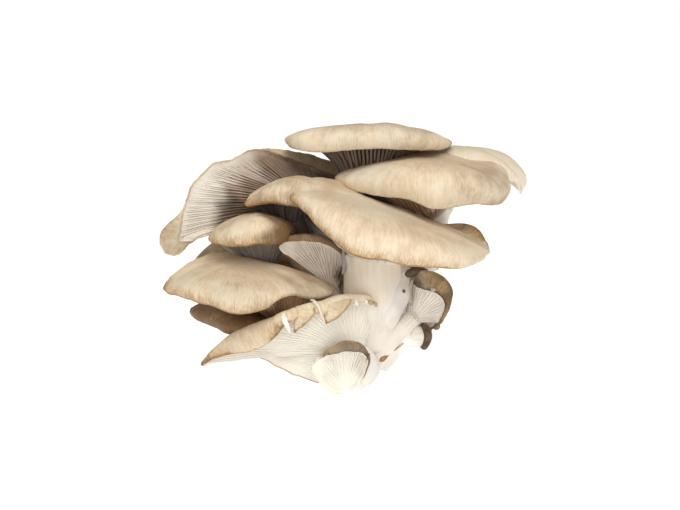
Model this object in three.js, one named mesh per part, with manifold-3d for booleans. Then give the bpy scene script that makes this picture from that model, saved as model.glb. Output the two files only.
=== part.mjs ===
// Oyster mushroom cluster: mushrooms fanned round one fused base, resting on the flat cut of that base.
// Millimetres. The origin lies on the cut's plane, at the centre of the whole cluster's box.
// +X runs along the cluster, +Y from its front to its back, +Z up.
import * as THREE from 'three';
import { mergeVertices } from 'three/addons/utils/BufferGeometryUtils.js';
import Module from 'manifold-3d';

const wasm = await Module();
wasm.setup();

// ---- Driving dimensions ----

// The cluster is described in its own frame, [across, depth, up], and lies back on its cut by this angle.
const LEAN = THREE.MathUtils.degToRad(12);
// Moves the leaned cluster so that the cut lies at height 0 and the box is centred over the origin.
const SEAT = [-2.6, -30.7, -5.87];
// Clearance left where one mushroom is fused to, or pressed against, another.
const GAP = 0.35;
// Rings of points along the skin, the gill side and the stem, and points round one ring.
const SKIN_STEPS = [0.22, 0.44, 0.64, 0.8, 0.92, 1];
const GILL_STEPS = [0.14, 0.34, 0.56, 0.8, 1];
const STEM_RINGS = 5;
const STEM_AROUND = 14;
const AROUND_EACH = 1.4; // points round a cap for each point given on its rim

// Shape of the flesh, as shares of the distance from rim to crown or stem.
const SKIN_REACH = 0.38;
const CROWN_ROUND = 0.8; // 0 leaves a point at the crown, 1 a level top
const SHOULDER_HEIGHT = 1.75;
const SHOULDER_DROP = 0.75;
const SHOULDER_OVERHANG = 2.1;
const HOLLOW_RISE = 0.85;
const TURNED_UP = 2.4; // the same where the rise is below 0: a margin turned up at its edge
const EDGE_INSET = 0.9;
const FLARE_WIDTH = 1.35;
const RING_SHARE = 0.97;
const PLUG_DEPTH = 0.5;
const STEM_DOME = 0.4;

// Height of the surface the cluster lies on, where the depth is 0 in the cluster's own frame.
const FLOOR_UP = 6;
// The fused base. Its outline at the cut, [across, depth], shrinks towards the pivot through these levels:
// [height above the cut, share of the outline's size, how far it has moved across, how far in depth].
const BASE_PIVOT = [-2, 20];
const BASE_OUTLINE = [
  [-2, -12], [7, -9], [12, 2], [16, 20], [20, 38], [12, 54], [-6, 58], [-24, 50],
  [-28, 36], [-22, 18], [-12, 6],
];
const BASE_LEVELS = [
  [-14, 1, 0, 0], [0, 1, 0, 0], [8, 0.98, 2, -3], [18, 0.82, 6, -9], [28, 0.6, 9, -13],
  [38, 0.38, 12, -16],
];
const BASE_AROUND = 28;
const BASE_DOME = 3;
// A stem without a cap, swollen and fused into the front of the base.
const BARE_STEM = {
  stem: [[29, -11, 63, 6.5], [26, -15, 53, 8.5], [22, -16, 44, 8.5], [16, -8, 34, 9]],
};
const SMOOTHING = 0.12; // detail finer than this is dropped after a cut
const CUT_BLOCK = 400; // side of the block that cuts the base flat

// Each mushroom:
//   rim     points round the cap's edge: [across, depth, up, overhang, rise]. Overhang and rise say how far
//           the rolled margin stands outside and above the edge there.
//   crown   where the radial fibres of the skin meet, on top of the cap.
//   stem    centreline from under the cap into the base: [across, depth, up, radius].
//   flare   how far above the top of the stem the gills begin to run down it.
//   slant   [across, depth] of the side where the gills end highest on the stem. They end twice its length
//           lower on the other side.
//   hollow  how far the gill side arches up between the edge and the stem. A rim point may carry its own,
//           last of its numbers.
const MUSHROOMS = [
  {
    name: 'bottom_small_mushroom',
    skin: 'dark',
    rim: [
      [-8, -34, 20.4, 1.5, 3], [-3, -39, 22, 2.5, 6], [4.5, -41, 23.4, 2.5, 7], [9.5, -38, 23, 2, 5.5],
      [13, -32, 18.5, 1.5, 2], [11, -27, 12, 1, 2], [8, -22, 6, 1, 2], [0, -21, 1.5, 1, 2],
      [-7.5, -23, 4, 1, 2], [-12, -26, 9, 1, 2], [-14, -29, 15.5, 1, 2],
    ],
    crown: [0, -24, 19],
    stem: [[1.5, -25, 3.5, 2.5], [6, -15, 8, 6], [7, -4, 12, 9]],
    flare: 1.5,
    hollow: 0.5,
  },
  {
    name: 'centre_small_mushroom',
    skin: 'tan',
    rim: [
      [-31.5, -16, 73.5, 1.5, 2], [-28, -20, 76, 2, 3], [-20.5, -23, 77, 2.5, 4], [-11, -24, 76, 2.5, 4],
      [-3.5, -22, 73, 2, 3], [1, -18, 68, 1.5, 2], [0, -11, 61, 1, 2], [-1, -6, 54, 1, 2],
      [-4, -4, 49, 1, 2], [-8, -6, 54, 3, 2], [-14, -9, 61, 8, 3], [-19, -11, 66, 9, 3],
      [-24, -13, 69, 5, 2], [-29, -14, 70.5, 1.5, 2],
    ],
    crown: [-14, -4, 71],
    stem: [[-6, -11, 54, 3.5], [-2, -4, 42, 6], [2, 4, 28, 8]],
    flare: 2,
    hollow: 0.5,
  },
  {
    name: 'right_small_mushroom',
    skin: 'dark',
    rim: [
      [33.5, -14, 56, 6, 4], [37.5, -19, 53.8, 9, 5], [43, -21, 52.5, 10, 6], [48, -20, 50.3, 7, 6],
      [50.8, -16, 45.8, 3, 5], [49.9, -13, 41.8, 2.5, 4], [47, -9, 36, 2, 3], [40, -4, 32.6, 1.5, 2.5],
      [34.5, -3, 37, 1, 2], [32.5, -6, 45, 1, 2], [31.7, -10, 51, 2, 2],
    ],
    crown: [43, 0, 49],
    stem: [[35.5, -10, 39, 4], [26, -9, 30, 6.5], [18, -6, 22, 8], [12, 0, 18, 9]],
    flare: 2,
    hollow: 0.5,
  },
  {
    name: 'right_bud',
    skin: 'dark',
    rim: [
      [39, -10, 35.3, 1.5, 3], [40.3, -14, 32, 1.5, 3], [40.3, -14, 27.5, 1.5, 3],
      [38.6, -10, 24.3, 1.5, 3], [40, -5, 27, 1.5, 3], [40.5, -5, 32.5, 1.5, 3],
    ],
    crown: [44.5, -9, 29],
    stem: [[35, -9.5, 29.5, 4], [27, -7, 25, 5], [18, -3, 18, 7]],
    flare: 1,
    hollow: 0,
  },
  {
    name: 'front_mushroom',
    skin: 'tan',
    rim: [
      [-68, -30, 16, 1, 2], [-59.5, -38, 20.6, 2.5, 7.5], [-48, -44, 22.8, 4, 13],
      [-38, -47, 26.4, 4, 13], [-31, -47, 32, 3, 10], [-26.5, -47, 37, 2.5, 7.5],
      [-15.5, -46, 41, 2.5, 7], [-8, -44, 41, 3, 8], [4, -39, 46, 2.5, 7], [13.5, -31, 47.3, 2, 5.5],
      [18, -24, 45, 1.2, 3], [17, -14, 32, 1.5, 2], [12, -4, 18, 1.5, 2], [0, -4, 8.5, 1, 2],
      [-11, -8, 7.2, 1, 1.5], [-21, -12, 9.8, 1, 1.5], [-31.5, -18, 15, 1, 1.5], [-42, -24, 20, 1, 1.5],
      [-54, -28, 20, 1, 1.5],
    ],
    crown: [-18, -16, 33],
    stem: [[4, -25, 23, 7], [8, -15, 16, 10], [8, -2, 16, 12]],
    flare: 4,
    hollow: 1,
  },
  {
    name: 'centre_mushroom',
    skin: 'tan',
    rim: [
      [-25.5, -20, 97.5, 1.6, 4], [-18, -31, 91, 3, 9], [-7, -41, 79.5, 4, 14], [7, -46, 69.5, 4, 16],
      [21, -48, 67, 4, 16, 4], [35, -47, 64.5, 4, 14, 6], [50, -43, 63.5, 4, 11, 8],
      [62, -34, 64.5, 4, 8, 8], [70, -20, 69, 2.5, 4, 7], [73, -6, 73, 1, 0.5, 3],
      [72, 2, 77.5, -0.8, -2.5, -6], [68, 8, 83, -1.8, -4, -9], [61, 12, 86, -1.8, -4.5, -9],
      [51, 12.5, 86, -1.2, -3.5, -8], [38, 16, 87, 0, -1.5, -4], [22, 22, 90, 2, 3],
      [4, 22, 96, 3, 8], [-12, 14, 101, 3, 8], [-24, -6, 100.5, 2, 7],
    ],
    crown: [10, -6, 99.5],
    stem: [[14.5, -18, 71, 15], [15, -15, 52, 14], [12, -4, 28, 14]],
    flare: 2,
    hollow: 3,
  },
  {
    name: 'top_mushroom',
    skin: 'tan',
    rim: [
      [-28.5, 30, 127, 1.5, 4], [-22, 12, 122.5, 3, 10], [-11, 6, 121.3, 3.5, 12], [1.5, 2, 121.8, 3.5, 12],
      [15, 0, 123, 3.5, 11], [29, 2, 123, 3.5, 11], [42, 8, 123, 3.5, 9], [51, 18, 123.5, 2.5, 7],
      [56, 32, 126.5, 1, 2.5], [48, 50, 128, 2.5, 5], [28, 64, 128, 3, 6], [2, 66, 128, 3, 6],
      [-18, 52, 128, 2.5, 5],
    ],
    crown: [16, 32, 136],
    stem: [[14, 30, 104, 10], [16, 22, 66, 9], [10, 12, 28, 9]],
    flare: 13,
    hollow: 7,
  },
  {
    name: 'right_mushroom',
    skin: 'tan',
    rim: [
      [-3, 16, 108, 1.5, 2.5], [3.5, 2, 103, 2.5, 7], [12, -5, 100.4, 3, 10], [22, -10, 98.4, 3.5, 13],
      [33.5, -14, 96.7, 3.5, 15], [44.5, -15, 93.2, 4, 17, 0], [56, -14, 93.7, 4, 17, 8],
      [66, -10, 94.8, 4, 16, 9], [76, -2, 94.5, 4, 13, 9], [81.5, 8, 97, 3, 12, 9],
      [83, 22, 102, 3, 10, 8], [79, 36, 109, 3.5, 10, 7], [60, 48, 113, 3, 9, 4],
      [36, 50, 112.5, 3, 8, 0], [12, 42, 112, 2.5, 5],
    ],
    crown: [40, 20, 121],
    stem: [[48, 17, 94, 5.5], [47.5, 20, 84, 6], [45, 23, 72, 6.5], [34, 20, 54, 8], [20, 10, 34, 9]],
    flare: 5,
    hollow: -6,
    slant: [4, 0],
  },
  {
    name: 'right_back_mushroom',
    skin: 'pale',
    rim: [
      [92, 42, 101, 1, 3, 9], [89, 33, 107, 1.5, 5, 9], [83, 28, 108.3, 2, 8, 7], [68, 24, 110.5, 3, 10],
      [52, 28, 114, 3, 8], [38, 42, 116, 2.5, 4], [36, 60, 118, 2.5, 4], [50, 76, 119, 3, 6],
      [70, 80, 117, 3, 8, 5], [87, 68, 112.5, 3, 9, 8], [94, 54, 108, 2.5, 6, 9],
    ],
    crown: [62, 54, 127.5],
    stem: [[50, 44, 96, 8], [34, 28, 62, 8.5], [14, 16, 28, 9]],
    flare: 7,
    hollow: 3,
  },
  {
    name: 'left_mushroom',
    skin: 'tan',
    rim: [
      [-75.5, -11, 76.6, 3, 4], [-80.5, -13, 77, 11.5, 6], [-79.5, -14, 83, 8, 5], [-78.7, -12, 89.5, 2, 3],
      [-76.5, -8, 98, 1, 1.5], [-74.5, -5, 104, 1, 1], [-70, -2, 109.5, 1, 1], [-63, 2, 116, 1, 1],
      [-55, 5, 117.5, 1, 1], [-48.5, 9, 121.5, 1, 1], [-42, 13, 123.2, 1, 1.5], [-34, 20, 121.5, 3, 3.5],
      [-24, 28, 118.5, 5.5, 5], [-12, 36, 114, 7.5, 6], [-1, 42, 109, 7.5, 6], [5, 46, 98, 4, 5],
      [-6, 44, 86, 3, 5], [-24, 36, 85, 2, 4], [-42, 26, 90, 2, 4], [-54, 17, 91.5, 1.5, 3],
      [-62, 8, 86, 1, 2], [-70, -2, 79.6, 1.5, 2],
    ],
    crown: [-36, 40, 104],
    stem: [[-14, 20, 96, 6], [-10, 12, 76, 8], [0, 8, 46, 9], [4, 8, 26, 10]],
    flare: 6,
    hollow: 2,
  },
  {
    name: 'left_inner_mushroom',
    skin: 'tan',
    rim: [
      [-48, -5, 94.6, 1, 2], [-43, -12, 94.8, 1.5, 6], [-37, -17, 95, 2.5, 9], [-29, -19, 94.5, 2.5, 10],
      [-20, -16, 93.5, 2.5, 9], [-10, -6, 95, 2, 7], [-6, 8, 98, 2, 5], [-16, 20, 101, 2, 5],
      [-32, 19, 101.5, 2, 4], [-44, 8, 99, 1.5, 3],
    ],
    crown: [-21, 2, 109.5],
    stem: [[-26, -1, 87, 7], [-17, 2, 64, 7.5], [-4, 6, 38, 8], [2, 8, 24, 9]],
    flare: 3,
    hollow: 2,
  },
  {
    name: 'left_upper_mushroom',
    skin: 'tan',
    rim: [
      [-65, -13, 76.3, 1.5, 3], [-59, -24, 74.4, 2.5, 7], [-51, -30, 74, 3, 11], [-41, -31, 74.8, 3, 12],
      [-32, -27, 74.6, 2.5, 10], [-26.5, -18, 77.4, 2, 7], [-24, -2, 80, 2, 5], [-32, 12, 82, 2, 5],
      [-46, 16, 83, 2, 5], [-60, 4, 80, 2, 5],
    ],
    crown: [-42, -4, 91.5],
    stem: [[-40, 1, 64, 6.5], [-22, 3, 46, 7.5], [-2, 4, 26, 9]],
    flare: 5,
    hollow: 0,
  },
  {
    name: 'left_hidden_mushroom',
    skin: 'tan',
    rim: [
      [-75, 22, 64, 1, 3], [-69, 12, 62, 1.5, 6], [-58, 9, 61, 2, 6], [-48, 14, 62, 1.5, 5],
      [-44, 28, 64, 1.5, 4], [-54, 40, 66, 2, 4], [-69, 35, 66, 1.5, 3],
    ],
    crown: [-61, 24, 79],
    stem: [[-62, 24, 58, 5], [-42, 22, 44, 6.5], [-12, 20, 26, 8]],
    flare: 5,
    hollow: 1,
  },
  {
    name: 'left_large_mushroom',
    skin: 'tan',
    rim: [
      [-87.5, -20, 53, 1, 2], [-83.5, -27, 50.7, 1.5, 4], [-75, -36, 48.5, 2.5, 7], [-64, -45, 45.5, 3, 9],
      [-50, -50, 41.3, 3.5, 10], [-38.5, -48, 43, 3, 9], [-31, -43, 47.8, 2.5, 6], [-24, -36, 50.8, 2, 4],
      [-15, -29, 48.5, 2, 4.5], [-6, -23, 50.5, 1.5, 3], [-5.5, -11, 54, 1.5, 2], [-20, -3, 58, 1.5, 2],
      [-34, 0, 61, 2, 2.5], [-48, 4, 66, 2, 4], [-62, 5, 67, 2, 4], [-75, -2, 63, 2, 4],
      [-83, -10, 58.5, 1.5, 3],
    ],
    crown: [-51, -14, 69.3],
    stem: [[-28, -18, 38, 8], [-14, -10, 28, 9], [2, 0, 18, 11]],
    flare: 6,
    hollow: 2,
  },
  {
    name: 'left_shaded_mushroom',
    skin: 'tan',
    rim: [
      [-74.5, -14, 40, 1.5, 4], [-70, -22, 36.8, 2, 6], [-63, -29, 34.8, 2.5, 7], [-54, -33, 31, 3, 7],
      [-42, -32, 29.5, 3, 7], [-32, -24, 30, 2.5, 6], [-28, -10, 33, 2, 5], [-40, 4, 38, 2, 4],
      [-56, 8, 42, 2, 4], [-70, -2, 43, 2, 4],
    ],
    crown: [-50, -12, 45],
    stem: [[-34, -12, 24, 7], [-18, -4, 19, 8], [0, 4, 14, 9]],
    flare: 5,
    hollow: 2,
  },
  {
    name: 'back_left_mushroom',
    skin: 'tan',
    rim: [
      [-60, 50, 57, 2, 6], [-54, 36, 58, 2, 6], [-40, 31, 60, 2, 6], [-22, 36, 62, 2, 6],
      [-14, 54, 61, 3, 8], [-24, 76, 57, 3, 9], [-44, 84, 54, 3, 9], [-57, 72, 54, 3, 8],
    ],
    crown: [-36, 54, 71],
    stem: [[-36, 47, 48, 10], [-20, 34, 34, 10.5], [-6, 24, 20, 12]],
    flare: 7,
    hollow: 3,
  },
  {
    name: 'back_right_mushroom',
    skin: 'tan',
    rim: [
      [-4, 66, 64, 2, 7], [6, 50, 66, 2, 6], [26, 42, 66, 2, 6], [44, 50, 64, 2, 7],
      [50, 68, 62, 3, 8], [40, 84, 59, 3, 9], [20, 90, 58, 3, 9], [2, 82, 60, 3, 8],
    ],
    crown: [24, 66, 77],
    stem: [[21, 56, 51, 10], [12, 40, 36, 10.5], [4, 28, 22, 12]],
    flare: 7,
    hollow: 3,
  },
  {
    name: 'back_low_mushroom',
    skin: 'tan',
    rim: [
      [-54, 58, 30, 2, 6], [-46, 44, 32, 2, 6], [-30, 40, 33, 2, 6], [-14, 46, 32, 2, 6],
      [-4, 60, 30, 2, 7], [-12, 76, 28, 3, 8], [-30, 83, 27, 3, 8], [-48, 74, 28, 3, 7],
    ],
    crown: [-28, 60, 43],
    stem: [[-22, 48, 24, 7], [-12, 36, 19, 9], [-2, 26, 16, 11]],
    flare: 4,
    hollow: 2,
  },
];

const SKINS = {
  tan: { color: 0xc9ab85, roughness: 0.7, metalness: 0 },
  pale: { color: 0xe6d6bd, roughness: 0.7, metalness: 0 },
  dark: { color: 0x6f5c45, roughness: 0.6, metalness: 0 },
  flesh: { color: 0xefe8dc, roughness: 0.75, metalness: 0 },
};

// ---- Curves ----

const lerp = (a, b, t) => a.map((value, k) => value + (b[k] - value) * t);
const length3 = (a, b) => Math.hypot(b[0] - a[0], b[1] - a[1], b[2] - a[2]);

// Centripetal Catmull-Rom from p1 to p2, on points whose first three values are the place.
function segment(p0, p1, p2, p3, t) {
  const knot = (a, b) => Math.sqrt(Math.max(length3(a, b), 1e-6));
  const t1 = knot(p0, p1);
  const t2 = t1 + knot(p1, p2);
  const t3 = t2 + knot(p2, p3);
  const s = t1 + (t2 - t1) * t;
  const a1 = lerp(p0, p1, s / t1);
  const a2 = lerp(p1, p2, (s - t1) / (t2 - t1));
  const a3 = lerp(p2, p3, (s - t2) / (t3 - t2));
  const b1 = lerp(a1, a2, s / t2);
  const b2 = lerp(a2, a3, (s - t1) / (t3 - t1));
  return lerp(b1, b2, (s - t1) / (t2 - t1));
}

// Points along a smooth loop through the given ones, closer together where those are.
function loopPoints(points, count) {
  const n = points.length;
  const at = (i) => points[(i + n) % n];
  return Array.from({ length: count }, (_, k) => {
    const place = (k / count) * n;
    const i = Math.floor(place);
    return segment(at(i - 1), at(i), at(i + 1), at(i + 2), place - i);
  });
}

// Points along a smooth open curve from the first given one to the last.
function linePoints(points, count) {
  const n = points.length;
  const before = lerp(points[0], points[1], -1);
  const after = lerp(points[n - 1], points[n - 2], -1);
  const run = [before, ...points, after];
  return Array.from({ length: count }, (_, k) => {
    const place = (k / (count - 1)) * (n - 1);
    const i = Math.min(Math.floor(place), n - 2);
    return segment(run[i], run[i + 1], run[i + 2], run[i + 3], place - i);
  });
}

const vector = (a) => new THREE.Vector3(a[0], a[1], a[2]);

// A point of the Bezier curve with the given control points.
function bezier(controls, t) {
  let level = controls.map((p) => p.clone());
  while (level.length > 1) {
    level = level.slice(1).map((p, i) => level[i].clone().lerp(p, t));
  }
  return level[0];
}

// ---- Solids ----

// A closed mesh from rings of points with a pole at each end, facing out.
function ringGeometry(first, rings, last) {
  const n = rings[0].length;
  const points = [first, ...rings.flat(), last];
  const index = [];
  for (let i = 0; i < n; i++) {
    const j = (i + 1) % n;
    index.push(0, 1 + i, 1 + j);
    for (let r = 0; r < rings.length - 1; r++) {
      const a = 1 + r * n;
      const b = a + n;
      index.push(a + i, b + i, b + j, a + i, b + j, a + j);
    }
    const a = 1 + (rings.length - 1) * n;
    index.push(a + i, points.length - 1, a + j);
  }
  const geometry = new THREE.BufferGeometry().setFromPoints(points);
  geometry.setIndex(index);
  if (signedVolume(geometry) < 0) {
    for (let k = 0; k < index.length; k += 3) [index[k], index[k + 1]] = [index[k + 1], index[k]];
    geometry.setIndex(index);
  }
  return geometry;
}

function signedVolume(geometry) {
  const p = geometry.attributes.position;
  const index = geometry.index.array;
  const [a, b, c] = [new THREE.Vector3(), new THREE.Vector3(), new THREE.Vector3()];
  let sum = 0;
  for (let k = 0; k < index.length; k += 3) {
    a.fromBufferAttribute(p, index[k]);
    b.fromBufferAttribute(p, index[k + 1]);
    c.fromBufferAttribute(p, index[k + 2]);
    sum += a.dot(b.cross(c)) / 6;
  }
  return sum;
}

// The same mesh with every vertex moved out along its normal.
function grown(geometry, by) {
  const out = geometry.clone();
  out.computeVertexNormals();
  const place = out.attributes.position.array;
  const normal = out.attributes.normal.array;
  for (let i = 0; i < place.length; i++) place[i] += by * normal[i];
  out.deleteAttribute('normal');
  return out;
}

function toSolid(geometry) {
  const bare = new THREE.BufferGeometry().setAttribute('position', geometry.attributes.position);
  bare.setIndex(geometry.index);
  const merged = mergeVertices(bare, 1e-4);
  return new wasm.Manifold(
    new wasm.Mesh({
      numProp: 3,
      vertProperties: merged.attributes.position.array,
      triVerts: new Uint32Array(merged.index.array),
    }),
  );
}

function toGeometry(solid) {
  const mesh = solid.getMesh();
  const geometry = new THREE.BufferGeometry();
  geometry.setAttribute('position', new THREE.BufferAttribute(new Float32Array(mesh.vertProperties), 3));
  geometry.setIndex(new THREE.BufferAttribute(new Uint32Array(mesh.triVerts), 1));
  geometry.computeVertexNormals();
  return geometry;
}

// The largest body of a solid, without the crumbs and hair-thin faces that a cut leaves.
function largest(solid) {
  return solid.simplify(SMOOTHING).decompose().reduce((a, b) => (b.volume() > a.volume() ? b : a));
}

// Direction square to the rim's plane, on the crown's side.
function capAxis(loop, crown) {
  const normal = new THREE.Vector3();
  const centre = new THREE.Vector3();
  loop.forEach((p, i) => {
    const q = loop[(i + 1) % loop.length];
    normal.add(p.clone().cross(q));
    centre.add(p);
  });
  normal.normalize();
  centre.divideScalar(loop.length);
  if (normal.dot(crown.clone().sub(centre)) < 0) normal.negate();
  return { normal, centre };
}

// The cap of one mushroom, from the crown over the skin to the rim and in along the gills to the stem.
function capGeometry(shape) {
  const given = shape.rim.map((p) => (p.length > 5 ? p : [...p, shape.hollow]));
  const around = Math.round(given.length * AROUND_EACH);
  const rim = loopPoints(given, around);
  const loop = rim.map(vector);
  const crown = vector(shape.crown);
  const { normal, centre } = capAxis(loop, crown);
  const root = vector(shape.stem[0]);
  const radius = shape.stem[0][3];
  const slant = shape.slant ?? [0, 0];

  const skin = SKIN_STEPS.map(() => []);
  const gills = GILL_STEPS.map(() => []);
  loop.forEach((edge, i) => {
    const [overhang, rise, hollow] = rim[i].slice(3);
    const along = loop[(i + 1) % around].clone().sub(loop[(i - 1 + around) % around]);
    const out = along.cross(normal).normalize();
    if (out.dot(edge.clone().sub(centre)) < 0) out.negate();

    const beyond = (place, up, outwards) =>
      place.clone().addScaledVector(normal, up).addScaledVector(out, outwards);

    const reach = edge.clone().sub(crown).multiplyScalar(SKIN_REACH);
    const skinCurve = [
      crown,
      beyond(crown.clone().add(reach), -reach.dot(normal) * CROWN_ROUND, 0),
      beyond(edge, rise * SHOULDER_HEIGHT, 0),
      beyond(edge, rise * SHOULDER_DROP, overhang * SHOULDER_OVERHANG),
      edge,
    ];
    SKIN_STEPS.forEach((t, k) => skin[k].push(bezier(skinCurve, t)));

    const side = edge.clone().sub(root);
    side.addScaledVector(normal, -side.dot(normal)).normalize();
    const drop = side.x * slant[0] + side.y * slant[1] - Math.hypot(...slant);
    const ring = beyond(root.clone().addScaledVector(side, radius * RING_SHARE), drop, 0);
    const flare = beyond(root.clone().addScaledVector(side, radius * FLARE_WIDTH), shape.flare + drop, 0);
    const gillCurve = [
      edge,
      beyond(edge, rise * (rise > 0 ? HOLLOW_RISE : TURNED_UP), -EDGE_INSET),
      beyond(edge.clone().lerp(flare, 0.5), hollow * 2, 0),
      flare,
      ring,
    ];
    GILL_STEPS.forEach((t, k) => gills[k].push(bezier(gillCurve, t)));
  });
  const plug = root.clone().addScaledVector(normal, -PLUG_DEPTH * radius);
  return ringGeometry(crown, [...skin, ...gills], plug);
}

// The stem, from inside the cap's flesh down its centreline into the base.
function stemGeometry(shape) {
  const path = linePoints(shape.stem, STEM_RINGS);
  let side = new THREE.Vector3(1, 0, 0);
  const rings = path.map((place, k) => {
    const before = vector(path[Math.max(k - 1, 0)]);
    const way = vector(path[Math.min(k + 1, path.length - 1)]).sub(before).normalize();
    side = side.clone().addScaledVector(way, -side.dot(way)).normalize();
    const across = way.clone().cross(side);
    return Array.from({ length: STEM_AROUND }, (_, i) => {
      const angle = (i / STEM_AROUND) * Math.PI * 2;
      const spoke = side.clone().multiplyScalar(Math.cos(angle)).addScaledVector(across, Math.sin(angle));
      return vector(place).addScaledVector(spoke, place[3]);
    });
  });
  const cap = lerp(path[0], path[1], -STEM_DOME * path[0][3] / length3(path[0], path[1]));
  const foot = lerp(path[path.length - 1], path[path.length - 2], -STEM_DOME);
  return ringGeometry(vector(cap), rings, vector(foot));
}

function baseGeometry() {
  const outline = loopPoints(BASE_OUTLINE.map(([x, depth]) => [x, depth, 0]), BASE_AROUND);
  const slope = Math.tan(LEAN);
  const place = ([x, depth], [height, size, dx, dy]) => {
    const px = BASE_PIVOT[0] + (x - BASE_PIVOT[0]) * size + dx;
    const py = BASE_PIVOT[1] + (depth - BASE_PIVOT[1]) * size + dy;
    return new THREE.Vector3(px, py, FLOOR_UP + slope * py + height);
  };
  const rings = BASE_LEVELS.map((level) => outline.map((p) => place(p, level)));
  const [height, ...rest] = BASE_LEVELS[BASE_LEVELS.length - 1];
  const peak = place(BASE_PIVOT, [height + BASE_DOME, ...rest]);
  return ringGeometry(place(BASE_PIVOT, BASE_LEVELS[0]), rings, peak);
}

function named(geometry, name, skin) {
  const mesh = new THREE.Mesh(geometry, new THREE.MeshStandardMaterial(SKINS[skin]));
  mesh.name = name;
  return mesh;
}

// ---- Assembly ----

// In the cluster's frame the surface it lies on slopes back by the lean.
const floorBlock = new THREE.BoxGeometry(CUT_BLOCK, CUT_BLOCK, CUT_BLOCK);
floorBlock.translate(0, 0, -CUT_BLOCK / 2);
floorBlock.rotateX(LEAN);
floorBlock.translate(0, 0, FLOOR_UP);
const below = toSolid(floorBlock);

const [lump, bareStem] = [baseGeometry(), stemGeometry(BARE_STEM)];
const base = largest(toSolid(lump).add(toSolid(bareStem)).subtract(below));
const cluster = new THREE.Group();
cluster.rotation.x = -LEAN;
cluster.position.set(...SEAT);
cluster.add(named(toGeometry(base), 'fused_base', 'flesh'));

let taken = toSolid(grown(lump, GAP)).add(toSolid(grown(bareStem, GAP)));
for (const shape of MUSHROOMS) {
  const [cap, stem] = [capGeometry(shape), stemGeometry(shape)];
  const whole = toSolid(cap).add(toSolid(stem));
  cluster.add(named(toGeometry(largest(whole.subtract(taken).subtract(below))), shape.name, shape.skin));
  taken = taken.add(toSolid(grown(cap, GAP))).add(toSolid(grown(stem, GAP)));
}

const root = new THREE.Group();
root.add(cluster);
export default root;
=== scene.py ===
"""Finishes an oyster mushroom cluster: fibrous caps, blade gills and fused stems, in a plain studio."""
import logging
import math
from dataclasses import dataclass, field
from enum import Enum
from typing import Callable, Iterable, Sequence

import bpy
import numpy as np
from mathutils import Matrix


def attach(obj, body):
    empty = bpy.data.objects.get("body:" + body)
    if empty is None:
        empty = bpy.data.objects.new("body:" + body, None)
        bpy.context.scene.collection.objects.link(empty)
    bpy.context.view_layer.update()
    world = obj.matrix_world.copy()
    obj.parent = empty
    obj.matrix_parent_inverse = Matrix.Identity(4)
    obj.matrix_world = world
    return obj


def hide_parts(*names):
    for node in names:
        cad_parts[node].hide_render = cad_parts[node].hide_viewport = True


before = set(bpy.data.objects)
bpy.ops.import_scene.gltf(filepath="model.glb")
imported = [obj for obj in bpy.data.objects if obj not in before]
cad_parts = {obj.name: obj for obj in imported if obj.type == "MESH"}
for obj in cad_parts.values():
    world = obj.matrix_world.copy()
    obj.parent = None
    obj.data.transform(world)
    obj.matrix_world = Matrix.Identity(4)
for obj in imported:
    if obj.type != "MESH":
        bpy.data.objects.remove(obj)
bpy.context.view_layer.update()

log = logging.getLogger("oyster_cluster")

MM = 0.001
LEAN = math.radians(12)
SEAT = np.array([-2.6, -30.7, -5.87])
FLOOR_UP = 6.0
# Samples between two points of a closed loop, and the fewest points it is turned into.
LOOP_SAMPLES = 60
LEAST_POINTS = 12

Point = tuple[float, ...]
Waves = tuple[tuple[float, float], ...]
Array = np.ndarray


# ---- Places and curves ---------------------------------------------------------------------------


def to_frame(points: Array) -> Array:
    """Turns places in the cluster's own frame into the row frame.

    Args:
        points: Places as across, depth and up, in millimetres.

    Returns:
        The same places as x, y and z, in metres.
    """
    across, depth, up = points[..., 0], points[..., 1], points[..., 2]
    y = depth * math.cos(LEAN) + up * math.sin(LEAN)
    z = up * math.cos(LEAN) - depth * math.sin(LEAN)
    return (np.stack([across, y, z], axis=-1) + SEAT) * MM


def unit(vectors: Array) -> Array:
    """Scales vectors to length 1."""
    return vectors / np.maximum(np.linalg.norm(vectors, axis=-1, keepdims=True), 1e-9)


def dot(a: Array, b: Array) -> Array:
    """Dot product along the last axis, which is kept."""
    return np.sum(a * b, axis=-1, keepdims=True)


def smooth_step(value: Array, low: float, high: float) -> Array:
    """Goes smoothly from 0 at low to 1 at high."""
    t = np.clip((value - low) / (high - low), 0.0, 1.0)
    return t * t * (3.0 - 2.0 * t)


def catmull_rom(run: Array, places: Array) -> Array:
    """Centripetal Catmull-Rom through a run of points.

    Args:
        run: The points, with one before the first and one after the last. Their first three
            values are the place.
        places: How far along to read, from 0 at the second point, 1 for each point.

    Returns:
        One row for each place.
    """
    index = np.clip(np.floor(places).astype(int), 0, len(run) - 4)
    p0, p1, p2, p3 = (run[index + k] for k in range(4))

    def knot(a: Array, b: Array) -> Array:
        """Spacing of two neighbours on the curve's own scale."""
        gap = np.linalg.norm(b[:, :3] - a[:, :3], axis=1, keepdims=True)
        return np.sqrt(np.maximum(gap, 1e-6))

    t1 = knot(p0, p1)
    t2 = t1 + knot(p1, p2)
    t3 = t2 + knot(p2, p3)
    s = t1 + (t2 - t1) * (places - index)[:, None]
    a1 = p0 + (p1 - p0) * (s / t1)
    a2 = p1 + (p2 - p1) * ((s - t1) / (t2 - t1))
    a3 = p2 + (p3 - p2) * ((s - t2) / (t3 - t2))
    b1 = a1 + (a2 - a1) * (s / t2)
    b2 = a2 + (a3 - a2) * ((s - t1) / (t3 - t1))
    return b1 + (b2 - b1) * ((s - t1) / (t2 - t1))


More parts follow.
